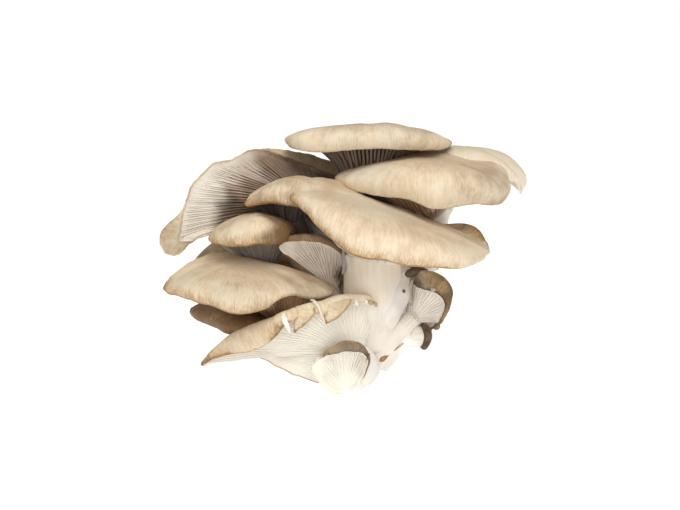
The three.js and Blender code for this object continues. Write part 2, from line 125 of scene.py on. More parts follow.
def even_loop(points: Array, spacing: float) -> Array:
    """Points evenly spaced along a smooth closed loop.

    Args:
        points: The points it goes through, whose first three values are the place.
        spacing: Distance wanted between neighbours, in the points' unit.

    Returns:
        The new points, with their other values carried along.
    """
    run = np.concatenate([points[-1:], points, points[:2]])
    fine = catmull_rom(run, np.linspace(0, len(points), LOOP_SAMPLES * len(points), endpoint=False))
    closed = np.concatenate([fine, fine[:1]])
    length = np.concatenate([[0], np.cumsum(np.linalg.norm(np.diff(closed[:, :3], axis=0), axis=1))])
    count = max(LEAST_POINTS, round(length[-1] / spacing))
    wanted = np.linspace(0, length[-1], count, endpoint=False)
    return np.stack([np.interp(wanted, length, closed[:, k]) for k in range(closed.shape[1])], axis=1)


def open_line(points: Array, count: int) -> Array:
    """Points along a smooth open line through the given ones."""
    run = np.concatenate([[2 * points[0] - points[1]], points, [2 * points[-1] - points[-2]]])
    return catmull_rom(run, np.linspace(0, len(points) - 1, count))


def bezier(controls: Sequence[Array], steps: Array) -> Array:
    """Reads Bezier curves, one for each point of a loop.

    Args:
        controls: The control points, each one array of a row for each curve.
        steps: Where to read them, from 0 to 1.

    Returns:
        An array of steps by curves by 3.
    """
    degree = len(controls) - 1
    weights = [
        math.comb(degree, k) * steps**k * (1 - steps) ** (degree - k) for k in range(degree + 1)
    ]
    return sum(w[:, None, None] * c[None] for w, c in zip(weights, controls))


def ripple(points: Array, wavelength: float, seed: int, waves: int = 9) -> Array:
    """A smooth random field, mostly from -1 to 1.

    Args:
        points: Where to read it.
        wavelength: Typical distance from one crest to the next, in the points' unit.
        seed: Chooses the field.
        waves: How many plane waves are added.

    Returns:
        One number for each point.
    """
    source = np.random.default_rng(seed)
    ways = unit(source.normal(size=(waves, points.shape[-1])))
    turns = 2 * math.pi / (wavelength * source.uniform(0.65, 1.5, waves))
    phases = source.uniform(0, 2 * math.pi, waves)
    return np.sin(points @ ways.T * turns + phases).sum(axis=-1) / math.sqrt(waves)


def ripples(points: Array, waves: Waves, seed: int) -> Array:
    """Adds up smooth random fields of given strengths and wavelengths, whose seeds count up from one."""
    return sum(share * ripple(points, size, seed + k) for k, (share, size) in enumerate(waves))


def with_poles(first: Array, grid: Array, last: Array) -> Array:
    """One row for each point of a grid, between its first and last pole."""
    return np.concatenate([first[None], grid.reshape(-1, grid.shape[-1]), last[None]])


def ring_angles(count: int) -> Array:
    """Angles of points evenly spaced round a ring."""
    return np.linspace(0, 2 * math.pi, count, endpoint=False)


def grid_normals(grid: Array) -> Array:
    """Unit normals of a grid of points that closes on itself along its second axis."""
    along = np.roll(grid, -1, axis=1) - np.roll(grid, 1, axis=1)
    return unit(np.cross(np.gradient(grid, axis=0), along))


def tube_rings(points: Sequence[Point], rows: int, around: int,
               side: Point = (1.0, 0.0, 0.0)) -> tuple[Array, Array]:
    """Rings of points round a smooth centreline.

    Args:
        points: Its points: across, depth, up and radius, or half width and half thickness.
        rows: How many rings.
        around: How many points in each ring.
        side: The way the width lies.

    Returns:
        The rings, and the places along the centreline they stand round, with the points' other values.
    """
    path = open_line(np.array(points, dtype=float), rows)
    way = unit(np.gradient(path[:, :3], axis=0))
    angle = ring_angles(around)[:, None]
    width, rings = np.array(side), []
    for place, forward in zip(path, way):
        width = unit(width - forward * (width @ forward))
        thickness = np.cross(forward, width)
        rings.append(place[:3] + np.cos(angle) * width * place[3] + np.sin(angle) * thickness * place[-1])
    return np.stack(rings), path


def run_length(line: Array) -> Array:
    """Distance along a line of points, from 0 at the first."""
    return np.concatenate([[0], np.cumsum(np.linalg.norm(np.diff(line[:, :3], axis=0), axis=1))])


# ---- Meshes --------------------------------------------------------------------------------------


def finished(mesh: bpy.types.Mesh, name: str, materials: Iterable[bpy.types.Material]) -> bpy.types.Object:
    """Puts a mesh in the scene as an object at the origin.

    Args:
        mesh: Its mesh, in metres in the row frame.
        name: The piece's name.
        materials: Materials in the order of the faces' numbers.

    Returns:
        The new object.
    """
    piece = bpy.data.objects.new(name, mesh)
    mesh.name = name
    bpy.context.scene.collection.objects.link(piece)
    for material in materials:
        mesh.materials.append(material)
    return piece


def lift_to_floor(mesh: bpy.types.Mesh) -> None:
    """Moves points that would lie below the floor up onto it."""
    places = np.empty(3 * len(mesh.vertices), dtype=np.float32)
    mesh.vertices.foreach_get("co", places)
    places[2::3] = np.maximum(places[2::3], 0.0)
    mesh.vertices.foreach_set("co", places)


def put_attribute(mesh: bpy.types.Mesh, name: str, values: Array) -> None:
    """Stores one number or one vector for each vertex of a mesh."""
    kind, slot = ("FLOAT_VECTOR", "vector") if values.ndim == 2 else ("FLOAT", "value")
    mesh.attributes.new(name, kind, "POINT").data.foreach_set(slot, values.astype(np.float32).ravel())


@dataclass
class Shell:
    """A closed surface built up from grids of quads with a pole at each end."""

    points: list[Array] = field(default_factory=list)
    faces: list[tuple[int, ...]] = field(default_factory=list)
    finish: list[int] = field(default_factory=list)
    marks: dict[str, list[Array]] = field(default_factory=dict)
    count: int = 0

    def add(self, first: Array, grid: Array, last: Array, marks: dict[str, Array],
            finish: Callable[[int], int]) -> None:
        """Adds one closed body, facing out.

        Args:
            first: The pole before the first ring.
            grid: Rings of points, an array of rings by points by 3.
            last: The pole after the last ring.
            marks: Attributes, each with a row for every point, the poles first and last.
            finish: Gives the material's number for the faces that follow a ring.
        """
        rings, around, _ = grid.shape
        flat = with_poles(first, grid, last)
        ids = self.count + 1 + np.arange(rings * around).reshape(rings, around)
        turned = np.roll(ids, -1, axis=1)
        top, end = self.count, self.count + 1 + rings * around
        quads = np.stack([ids[:-1], ids[1:], turned[1:], turned[:-1]], axis=-1).reshape(-1, 4)
        faces = [(top, int(a), int(b)) for a, b in zip(ids[0], turned[0])]
        numbers = [finish(0)] * around
        faces += [tuple(row) for row in quads.tolist()]
        numbers += [finish(ring + 1) for ring in range(rings - 1) for _ in range(around)]
        faces += [(int(a), end, int(b)) for a, b in zip(ids[-1], turned[-1])]
        numbers += [finish(rings)] * around
        if self._volume(flat, quads - self.count) < 0:
            faces = [face[::-1] for face in faces]
        self.points.append(flat)
        self.faces += faces
        self.finish += numbers
        for key, rows in marks.items():
            self.marks.setdefault(key, []).append(rows)
        self.count += len(flat)

    @staticmethod
    def _volume(points: Array, quads: Array) -> float:
        """Signed volume held by quads, with their middle as the origin."""
        a, b, c, d = (points[quads[:, k]] - points.mean(axis=0) for k in range(4))
        halves = dot(a, np.cross(b, c)) + dot(a, np.cross(c, d))
        return float(halves.sum())

    def piece(self, name: str, materials: Iterable[bpy.types.Material]) -> bpy.types.Object:
        """Makes the object, standing on the floor where it would reach below it."""
        mesh = bpy.data.meshes.new(name)
        mesh.from_pydata(to_frame(np.concatenate(self.points)).tolist(), [], self.faces)
        lift_to_floor(mesh)
        mesh.polygons.foreach_set("material_index", self.finish)
        mesh.polygons.foreach_set("use_smooth", [True] * len(self.faces))
        for key, rows in self.marks.items():
            put_attribute(mesh, key, np.concatenate(rows))
        mesh.validate()
        mesh.update()
        return finished(mesh, name, materials)


# ---- Node trees ----------------------------------------------------------------------------------


@dataclass
class Term:
    """A number or colour that comes out of a node, and takes part in Python sums."""

    graph: "Graph"
    socket: bpy.types.NodeSocket

    def _math(self, operation: str, a: object, b: object = 0.0) -> "Term":
        """Adds a Math node."""
        node = self.graph.node("ShaderNodeMath", {"operation": operation}, {0: a, 1: b})
        return self.graph.out(node)

    def __add__(self, other: object) -> "Term":
        """self + other."""
        return self._math("ADD", self, other)

    def __sub__(self, other: object) -> "Term":
        """self - other."""
        return self._math("SUBTRACT", self, other)

    def __rsub__(self, other: object) -> "Term":
        """other - self."""
        return self._math("SUBTRACT", other, self)

    def __mul__(self, other: object) -> "Term":
        """self * other."""
        return self._math("MULTIPLY", self, other)

    __radd__ = __add__
    __rmul__ = __mul__

    def step(self, low: float, high: float) -> "Term":
        """Goes smoothly from 0 at low to 1 at high."""
        settings = {"interpolation_type": "SMOOTHSTEP"}
        ends = (low, high, 0.0, 1.0) if low < high else (high, low, 1.0, 0.0)
        values = dict(zip(("From Min", "From Max", "To Min", "To Max"), ends))
        return self.graph.out(self.graph.node("ShaderNodeMapRange", settings, {"Value": self, **values}))


class Graph:
    """Builds a node tree, one call for each node."""

    def __init__(self, tree: bpy.types.NodeTree) -> None:
        """Starts from an empty tree."""
        self.tree = tree
        tree.nodes.clear()

    def node(self, kind: str, settings: dict[str, object] | None = None,
             sockets: dict[int | str, object] | None = None) -> bpy.types.Node:
        """Adds a node.

        Args:
            kind: The node's type.
            settings: Its properties, set before its sockets are filled.
            sockets: Values or links of its inputs, by name or number.

        Returns:
            The node.
        """
        made = self.tree.nodes.new(kind)
        for name, value in (settings or {}).items():
            setattr(made, name, value)
        for name, value in (sockets or {}).items():
            self.feed(made.inputs[name], value)
        return made

    def feed(self, socket: bpy.types.NodeSocket, value: object) -> None:
        """Links a term or a socket to an input, or sets its value."""
        if isinstance(value, Term):
            value = value.socket
        if isinstance(value, bpy.types.NodeSocket):
            self.tree.links.new(value, socket)
        elif socket.type == "RGBA":
            socket.default_value = (*value, 1.0)
        else:
            socket.default_value = value

    def out(self, node: bpy.types.Node, name: int | str = 0) -> Term:
        """One of a node's outputs as a term."""
        return Term(self, node.outputs[name])

    def attribute(self, name: str, output: str = "Fac") -> Term:
        """Reads an attribute of the mesh in a material."""
        return self.out(self.node("ShaderNodeAttribute", {"attribute_name": name}), output)

    def place(self) -> Term:
        """The place in the object's own frame."""
        return self.out(self.node("ShaderNodeTexCoord"), "Object")

    def scaled(self, vector: object, scale: Sequence[float]) -> Term:
        """Multiplies a vector by another."""
        return self.out(self.node("ShaderNodeVectorMath", {"operation": "MULTIPLY"}, {0: vector, 1: scale}))

    def noise(self, vector: object, scale: float, detail: float = 2.0, rough: float = 0.5) -> Term:
        """Noise from 0 to 1."""
        values = {"Vector": vector, "Scale": scale, "Detail": detail, "Roughness": rough}
        return self.out(self.node("ShaderNodeTexNoise", {}, values), "Fac")

    def mix(self, factor: object, a: object, b: object, blend: str = "MIX") -> Term:
        """Goes from colour a to colour b."""
        settings = {"data_type": "RGBA", "blend_type": blend, "clamp_factor": True}
        return self.out(self.node("ShaderNodeMix", settings, {0: factor, 6: a, 7: b}), 2)

    def surface(self, colour: Term, roughness: object, specular: float, relief: Term, strength: float,
                height: float) -> None:
        """Ends a material.

        Args:
            colour: Its colour.
            roughness: Its roughness.
            specular: Its specular level.
            relief: Shape of its bumps, from 0 to 1.
            strength: How much they bend the light.
            height: Their height, in metres.
        """
        bump = self.node("ShaderNodeBump", {}, {"Strength": strength, "Distance": height, "Height": relief})
        shader = self.node("ShaderNodeBsdfPrincipled", {}, {
            "Base Color": colour, "Roughness": roughness, "Specular IOR Level": specular,
            "Normal": self.out(bump),
        })
        self.node("ShaderNodeOutputMaterial", {}, {"Surface": self.out(shader)})


Colour = tuple[float, float, float]


def new_material(name: str) -> tuple[bpy.types.Material, Graph]:
    """Starts a material with nodes."""
    material = bpy.data.materials.new(name)
    material.use_nodes = True
    return material, Graph(material.node_tree)


@dataclass(frozen=True)
class CapSkin:
    """Fibrous skin on top of a cap, palest near the margin, which has a thin brown line."""

    name: str
    cream: Colour = (0.85, 0.73, 0.54)
    tan: Colour = (0.67, 0.495, 0.32)
    crown: Colour = (0.62, 0.475, 0.325)
    # Colour of brown patches: partly the skin's own brown, partly painted shade.
    brown: Colour = (0.20, 0.115, 0.05)
    margin: Colour = (0.30, 0.16, 0.055)
    ochre: Colour = (0.62, 0.41, 0.185)
    # Colour of pale patches: partly the skin's own pale tone, partly painted light.
    pale: Colour = (0.90, 0.85, 0.70)
    margin_width: float = 1.3
    margin_strength: float = 0.62
    mottle: float = 0.6
    roughness: float = 0.56

    def build(self) -> bpy.types.Material:
        """Makes the material. It reads the attributes grain, spread, browned, ochred and bleached."""
        material, g = new_material(self.name)
        grain = g.attribute("grain", "Vector")
        from_edge = g.out(g.node("ShaderNodeSeparateXYZ", {}, {0: grain}), "Z")
        spread = g.attribute("spread").step(0.1, 0.7)
        ochred, browned = g.attribute("ochred"), g.attribute("browned")
        place = g.place()
        fibres = (g.noise(g.scaled(grain, (1.0, 1.0, 0.16)), 1700.0, 2.5, 0.6) - 0.5) * spread
        strands = (g.noise(g.scaled(grain, (1.0, 1.0, 0.22)), 520.0, 2.0) - 0.5) * spread
        blotches = g.noise(place, 120.0, 3.0, 0.6)
        clouds = g.noise(place, 34.0, 2.0)
        specks = g.noise(place, 1300.0, 2.0, 0.7)

        inland = from_edge.step(0.004, 0.026)
        mottled = (blotches * 0.5 + clouds * 0.5 + strands * 0.3 + fibres * 0.25).step(0.40, 0.64)
        colour = g.mix(inland * 0.5 + mottled * self.mottle, self.cream, self.tan)
        colour = g.mix(from_edge.step(0.022, 0.050) * 0.5, colour, self.crown)
        rays = from_edge.step(0.022, 0.002)
        hairs = fibres + strands * 0.3
        colour = g.mix(hairs.step(0.0, 0.30) * (rays * 0.16 + 0.08), colour, self.margin)
        colour = g.mix(hairs.step(0.0, -0.30) * (rays * 0.30 + 0.12), colour, self.cream)
        colour = g.mix(specks.step(0.56, 0.80) * 0.14, colour, self.margin)
        glow = from_edge.step(0.009, 0.0) * ochred
        colour = g.mix(glow * (hairs * 1.6 + 0.9), colour, self.ochre)
        speckled = (fibres * 1.2 + blotches + specks * 0.3).step(0.42, 0.85) * from_edge.step(0.009, 0.0)
        colour = g.mix(speckled * ochred * 0.7, colour, self.margin)
        width = self.margin_width * MM
        wander = (strands * 2.0 + fibres * 2.0 + (blotches - 0.5) * 2.0) * width
        line = (from_edge + wander - ochred * 0.0006).step(width, width * 0.1)
        colour = g.mix(line * (ochred * 0.3 + self.margin_strength), colour, self.margin)
        # Pale patches lighten the skin, partly to its own pale tone and partly as painted light. Brown
        # patches darken it, partly to its own brown and partly as painted shade.
        colour = g.mix(g.attribute("bleached"), colour, self.pale)
        uneven = browned + (blotches - 0.5 + fibres * 0.6) * 0.6 * browned.step(0.0, 0.3)
        colour = g.mix(uneven, colour, self.brown)

        relief = fibres * (rays * 0.6 + 0.4) + strands * 0.7 + specks * 0.12
        rough = fibres * 0.2 + self.roughness
        g.surface(colour, rough, specular=0.35, relief=relief, strength=0.4, height=0.0005)
        return material


@dataclass(frozen=True)
class GillFlesh:
    """Flesh of the gills and of the surface between them."""

    name: str
    pale: Colour = (0.84, 0.79, 0.71)
    deep: Colour = (0.66, 0.58, 0.49)
    # Colour of pale patches: partly the gills' own pale tone, partly painted light.
    white: Colour = (0.93, 0.90, 0.79)
    # Colour of umber patches: partly the gills' own brown, partly painted shade.
    brown: Colour = (0.33, 0.20, 0.115)
    # Colour of shaded patches: painted shade.
    dark: Colour = (0.055, 0.033, 0.027)

    def build(self) -> bpy.types.Material:
        """Makes the material. It reads the attributes grain, umbered, shaded and bleached."""
        material, g = new_material(self.name)
        grain = g.attribute("grain", "Vector")
        place = g.place()
        streaks = g.noise(g.scaled(grain, (1.0, 1.0, 0.08)), 700.0, 2.0)
        clouds = g.noise(place, 70.0, 2.0)
        colour = g.mix((clouds * 0.6 + streaks * 0.4).step(0.42, 0.72) * 0.55, self.pale, self.deep)
        # Pale patches lighten gills, partly as painted light.
        colour = g.mix(g.attribute("bleached"), colour, self.white)
        # Umber patches are partly the gills' own brown and partly painted shade. Shaded patches are painted
        # shade in hollows and deep under the caps.
        for tone, shade in (("umbered", self.brown), ("shaded", self.dark)):
            cover = g.attribute(tone)
            colour = g.mix(cover + (streaks - 0.5) * 0.3 * cover, colour, shade)
        g.surface(colour, 0.62, specular=0.3, relief=streaks, strength=0.3, height=0.0003)
        return material


@dataclass(frozen=True)
class StemFlesh:
    """Smooth fibrous flesh of the stems and of the fused base."""

    name: str
    white: Colour = (0.86, 0.80, 0.71)
    grey: Colour = (0.62, 0.55, 0.49)
    # Colour of pale patches: partly the stem's own pale tone, partly painted light.
    bleached: Colour = (0.93, 0.91, 0.85)
    warm: Colour = (0.74, 0.59, 0.38)
    # Colour of shaded patches: painted shade.
    dark: Colour = (0.09, 0.055, 0.05)

    def build(self) -> bpy.types.Material:
        """Makes the material. It reads the attributes grain, ochred, shaded and bleached."""
        material, g = new_material(self.name)
        grain = g.attribute("grain", "Vector")
        place = g.place()
        fibres = g.noise(g.scaled(grain, (1.0, 1.0, 0.07)), 560.0, 3.0, 0.6)
        clouds = g.noise(place, 55.0, 3.0, 0.6)
        colour = g.mix((clouds * 0.7 + fibres * 0.3).step(0.45, 0.70) * 0.45, self.white, self.grey)
        # Pale patches are partly the stem's own pale tone and partly painted light on flesh that lies in
        # shade.
        colour = g.mix(g.attribute("bleached"), colour, self.bleached)
        colour = g.mix(g.attribute("ochred") * (fibres * 1.4 + 0.1), colour, self.warm)
        # Shaded patches are painted shade on stems in hollows and under the caps.
        colour = g.mix(g.attribute("shaded"), colour, self.dark)
        relief = fibres * 0.6 + clouds * 1.2
        g.surface(colour, 0.6, specular=0.35, relief=relief, strength=0.35, height=0.0008)
        return material


# ---- Gills ---------------------------------------------------------------------------------------


# A blade's thickness at its foot, in widths of its edge, and how deep it is rooted, in heights.
BLADE_FOOT = 1.7
BLADE_ROOT = 0.5


def gill_tree() -> bpy.types.NodeTree:
    """Builds the node group that raises a blade on each line of a mesh.

    The lines carry blade_out, the way each blade stands, and blade_height, in metres.

    Returns:
        The node group, with the inputs Thickness, Sway, Sway Size, Seed and Material.
    """
    tree = bpy.data.node_groups.new("gill_blades", "GeometryNodeTree")
    sockets = {
        "Lines": "NodeSocketGeometry", "Thickness": "NodeSocketFloat", "Sway": "NodeSocketFloat",
        "Sway Size": "NodeSocketFloat", "Seed": "NodeSocketFloat", "Material": "NodeSocketMaterial",
    }
    for name, kind in sockets.items():
        tree.interface.new_socket(name, in_out="INPUT", socket_type=kind)
    tree.interface.new_socket("Blades", in_out="OUTPUT", socket_type="NodeSocketGeometry")
    g = Graph(tree)
    given = g.node("NodeGroupInput")

    def named(attribute: str, kind: str) -> Term:
        """Reads an attribute of the lines."""
        settings = {"data_type": kind}
        return g.out(g.node("GeometryNodeInputNamedAttribute", settings, {"Name": attribute}))

    height = named("blade_height", "FLOAT")
    place = g.out(g.node("GeometryNodeInputPosition"))
    divide = {"operation": "DIVIDE"}
    frequency = g.out(g.node("ShaderNodeMath", divide, {0: 1.0, 1: given.outputs["Sway Size"]}))
    wander = g.node("ShaderNodeTexNoise", {"noise_dimensions": "4D"}, {
        "Vector": place, "W": given.outputs["Seed"], "Scale": frequency, "Detail": 1.5,
    })
    less = {"operation": "SUBTRACT"}
    swing = g.node("ShaderNodeVectorMath", less, {0: g.out(wander, "Color"), 1: (0.5, 0.5, 0.5)})
    scale = {"operation": "SCALE"}
    reach = g.node("ShaderNodeVectorMath", scale, {0: g.out(swing), "Scale": given.outputs["Sway"]})
    moved = g.node("GeometryNodeSetPosition", {}, {
        "Geometry": given.outputs["Lines"], "Offset": g.out(reach),
    })
    curves = g.node("GeometryNodeMeshToCurve", {}, {"Mesh": moved.outputs[0]})
    turned = g.node("GeometryNodeSetCurveNormal", {"mode": "FREE"}, {
        "Curve": curves.outputs[0], "Normal": named("blade_out", "FLOAT_VECTOR"),
    })
    half = g.out(given, "Thickness") * 0.5
    foot = half * BLADE_FOOT

    def corner(along: float, side: Term) -> Term:
        """One corner of the blade's section, along its height and to one side."""
        return g.out(g.node("ShaderNodeCombineXYZ", {}, {"X": along, "Y": side}))

    section = g.node("GeometryNodeCurvePrimitiveQuadrilateral", {"mode": "POINTS"}, {
        "Point 1": corner(1.0, half * -1.0), "Point 2": corner(1.0, half),
        "Point 3": corner(-BLADE_ROOT, foot), "Point 4": corner(-BLADE_ROOT, foot * -1.0),
    })
    blades = g.node("GeometryNodeCurveToMesh", {}, {
        "Curve": turned.outputs[0], "Profile Curve": section.outputs[0], "Scale": height, "Fill Caps": True,
    })
    real = g.node("GeometryNodeRealizeInstances", {}, {"Geometry": blades.outputs[0]})
    dressed = g.node("GeometryNodeSetMaterial", {}, {
        "Geometry": real.outputs[0], "Material": given.outputs["Material"],
    })
    g.node("NodeGroupOutput", {}, {"Blades": dressed.outputs[0]})
    return tree


@dataclass(frozen=True)
class Blades:
    """Runs the gill node group on a mesh of lines."""

    tree: bpy.types.NodeTree
    sway: float = 0.0011
    sway_size: float = 0.011

    def grow(self, lines: bpy.types.Mesh, name: str, material: bpy.types.Material, width: float,
             seed: int) -> bpy.types.Object:
        """Makes the gills of one mushroom.

        Args:
            lines: Lines that carry blade_out and blade_height.
            name: The piece's name.
            material: The blades' material.
            width: Thickness of a blade at its edge, as a share of its height.
            seed: Chooses how they sway.

        Returns:
            The gills as one plain mesh.
        """
        carrier = bpy.data.objects.new(name, lines)
        bpy.context.scene.collection.objects.link(carrier)
        modifier = carrier.modifiers.new("blades", "NODES")
        modifier.node_group = self.tree
        wanted = {
            "Thickness": width, "Sway": self.sway, "Sway Size": self.sway_size,
            "Seed": float(seed), "Material": material,
        }
        for item in self.tree.interface.items_tree:
            if item.in_out == "INPUT" and item.name in wanted:
                modifier[item.identifier] = wanted[item.name]
        depsgraph = bpy.context.evaluated_depsgraph_get()
        mesh = bpy.data.meshes.new_from_object(carrier.evaluated_get(depsgraph))
        bpy.data.objects.remove(carrier)
        bpy.data.meshes.remove(lines)
        mesh.polygons.foreach_set("use_smooth", [False] * len(mesh.polygons))
        lift_to_floor(mesh)
        return finished(mesh, name, ())


# ---- Mushrooms -----------------------------------------------------------------------------------


class Tone(Enum):
    """What a patch does to the colours. Each is an attribute of the meshes. Ochre is the flesh's own tint
    and shade is painted shade. Brown and umber are partly the flesh's own brown and partly painted shade.
    Pale is partly the flesh's own pale tone and partly painted light.
    """

    # Brown on the skins: partly their own brown, partly painted shade on caps that lie in shade.
    BROWN = "browned"
    OCHRE = "ochred"
    # Brown on the gills: partly their own brown, partly painted shade deep under the caps.
    UMBER = "umbered"
    # Painted shade: a near-black brown on gills and stems in hollows, folds and under the caps.
    SHADE = "shaded"
    # Partly the flesh's own pale tone, partly painted light where the lamps leave flesh darker.
    PALE = "bleached"


# Where a patch starts to fade, where it ends and how far its edge wanders, as shares of its radius.
PATCH_CORE = 0.55
PATCH_END = 1.1
PATCH_UNEVEN = 0.16
PATCH_SEED = 7


@dataclass(frozen=True)
class Patch:
    """A patch of another tone, round a place in the cluster's own frame, in millimetres."""

    tone: Tone
    place: Point
    radius: float
    strength: float = 1.0

    def cover(self, points: Array) -> Array:
        """How far it covers each point, from 0 to its strength, with an uneven edge."""
        away = np.linalg.norm(points - np.array(self.place), axis=-1)
        core, end = PATCH_CORE * self.radius, PATCH_END * self.radius
        uneven = away + PATCH_UNEVEN * self.radius * ripple(points, core, PATCH_SEED)
        return self.strength * (1.0 - smooth_step(uneven, core, end))


def tones(**rows: tuple[Point, ...]) -> tuple[Patch, ...]:
    """Patches under their tones' names in lower case, as rows of across, depth, up, radius and strength."""
    listed = ((Tone[tone.upper()], row) for tone, group in rows.items() for row in group)
    return tuple(Patch(tone, row[:3], *row[3:]) for tone, row in listed)


def tone_marks(points: Array, patches: Sequence[Patch]) -> dict[str, Array]:
    """Attributes that hold each tone's strongest cover at each point."""
    marks = {}
    for tone in Tone:
        layers = [np.zeros(len(points))] + [patch.cover(points) for patch in patches if patch.tone is tone]
        marks[tone.value] = np.max(np.stack(layers), axis=0)
    return marks


class Skin(Enum):
    """Kinds of cap."""

    TAN = "tan_cap"
    PALE = "pale_cap"
    DARK = "dark_cap"


@dataclass(frozen=True)
class Finishes:
    """The cluster's materials."""

    skins: dict[Skin, bpy.types.Material]
    gills: bpy.types.Material
    stem: bpy.types.Material


# Shape of the flesh, as in the solid parts: shares of the way from crown to rim, of the rim's own rise and
# overhang or of the stem's radius, and the inset of the gill side in millimetres.
SKIN_REACH = 0.38
CROWN_ROUND = 0.8
SHOULDER_HEIGHT = 1.75
SHOULDER_DROP = 0.75
SHOULDER_OVERHANG = 2.1
HOLLOW_RISE = 0.85
TURNED_UP = 2.4
EDGE_INSET = 0.9
FLARE_WIDTH = 1.35
RING_SHARE = 0.97
PLUG_DEPTH = 0.5
STEM_DOME = 0.4
# Rise of a cap where its gills are sunk in full, in millimetres.
FULL_RISE = 5.0

# Spacing of the points, in millimetres, and how many rings and points there are.
RIM_SPACING = 0.9
SKIN_ROWS = 34
GILL_ROWS = 26
STEM_ROWS = 34
STEM_AROUND = 72
STEM_SAMPLES = 200
# How the rings crowd towards the rim, as powers.
SKIN_CROWDING = 1.7
GILL_CROWDING = 1.4

# How many rings before the joint of cap and stem the gills' guide is smoothed from, and how often.
JOINT_RINGS = 4
JOINT_PASSES = 4
# Where along a cap's underside its gills start to sink and where they come up again, as shares of the way.
SINKING = (0.02, 0.3)
RISING = (0.75, 1.0)

# How far a gill strays from its place, in spacings, and the shortest run one has, in millimetres.
GILL_STRAY = 0.22
SHORTEST_GILL = 2.5
# A blade's lowest height, as a share of the whole, where it rises past its start, in millimetres, and where
# it falls off, as shares of its run.
LOWEST_BLADE = 0.06
BLADE_START = (-0.6, 5.0)
BLADE_FALL = (0.72, 1.0)
# Height lost near the stem, and where, as shares of the way there.
WORN = 0.4
WORN_FROM = (0.6, 1.0)
# Under a margin thinner than this, in millimetres, blades are lower, down to a share, as far in as given.
THIN_MARGIN = 4.0
THIN_SHARE = 0.15
THIN_REACH = (3.0, 12.0)

# Unevenness, each row a height and a wavelength, in millimetres. A cap scales its own by ragged and bumpy.
RAGGED_OUT = ((0.7, 9.0), (0.45, 3.2))
RAGGED_UP = ((0.6, 12.0), (0.25, 4.0))
RAGGED_UP_SHARE = 0.8
CAP_BUMPS = ((1.0, 27.0), (0.3, 9.0))
STEM_LUMPS = ((0.35, 14.0),)
BASE_LUMPS = ((0.9, 22.0), (0.35, 7.0))
SCRAP_LUMPS = ((0.1, 2.6),)


def lumpy(rings: Array, middles: Array, waves: Waves, seed: int) -> Array:
    """Moves the points of rings away from their middles or towards them."""
    return rings + unit(rings - middles) * ripples(rings, waves, seed)[..., None]


def tube_marks(points: Array, grain: Array, patches: Sequence[Patch]) -> dict[str, Array]:
    """Attributes of a tube.

    Args:
        points: Its points, the poles first and last.
        grain: Grain of its rings.
        patches: Patches of other tones.

    Returns:
        Arrays with a row for each point, by name.
    """
    return {
        "grain": with_poles(grain[0, 0], grain, grain[-1, 0]),
        "spread": np.ones(len(points)),
        **tone_marks(points, patches),
    }


def add_tube(shell: Shell, first: Array, rings: Array, last: Array, path: Array, patches: Sequence[Patch],
             finish: int) -> None:
    """Adds a tube whose grain runs along it.

    Args:
        shell: What it is added to.
        first: The pole before its first ring.
        rings: Its rings.
        last: The pole after its last ring.
        path: The centreline, one row for each ring.
        patches: Patches of other tones.
        finish: The material's number.
    """
    angle, radius = ring_angles(rings.shape[1]), path[:, 3:4]
    along = np.broadcast_to(run_length(path)[:, None], rings.shape[:2])
    grain = np.stack([np.cos(angle) * radius, np.sin(angle) * radius, along], axis=-1) * MM
    marks = tube_marks(with_poles(first, rings, last), grain, patches)
    shell.add(first, rings, last, marks, lambda ring: finish)


def add_stem(shell: Shell, stem: Sequence[Point], foot: float, patches: Sequence[Patch], seed: int,
             finish: int) -> None:
    """Adds a lumpy stem with a domed top.

    Args:
        shell: What it is added to.
        stem: Its points, from the top down: across, depth, up and radius.
        foot: How far it reaches past its last ring, in distances between rings.
        patches: Patches of other tones.
        seed: Chooses its lumps.
        finish: The material's number.
    """
    rings, path = tube_rings(stem, STEM_ROWS, STEM_AROUND)
    rings = lumpy(rings, path[:, None, :3], STEM_LUMPS, seed)
    top = path[0, :3] + unit(path[0, :3] - path[1, :3]) * STEM_DOME * path[0, 3]
    last = path[-1, :3] + (path[-1, :3] - path[-2, :3]) * foot
    add_tube(shell, top, rings, last, path, patches, finish)


@dataclass(frozen=True)
class Cap:
    """The surfaces of one cap, as grids of rings by points round the rim, in the cluster's own frame."""

    edge: Array
    rise: Array
    skin: Array
    gills: Array
    normal: Array
    side: Array
    turn: Array
    perimeter: float


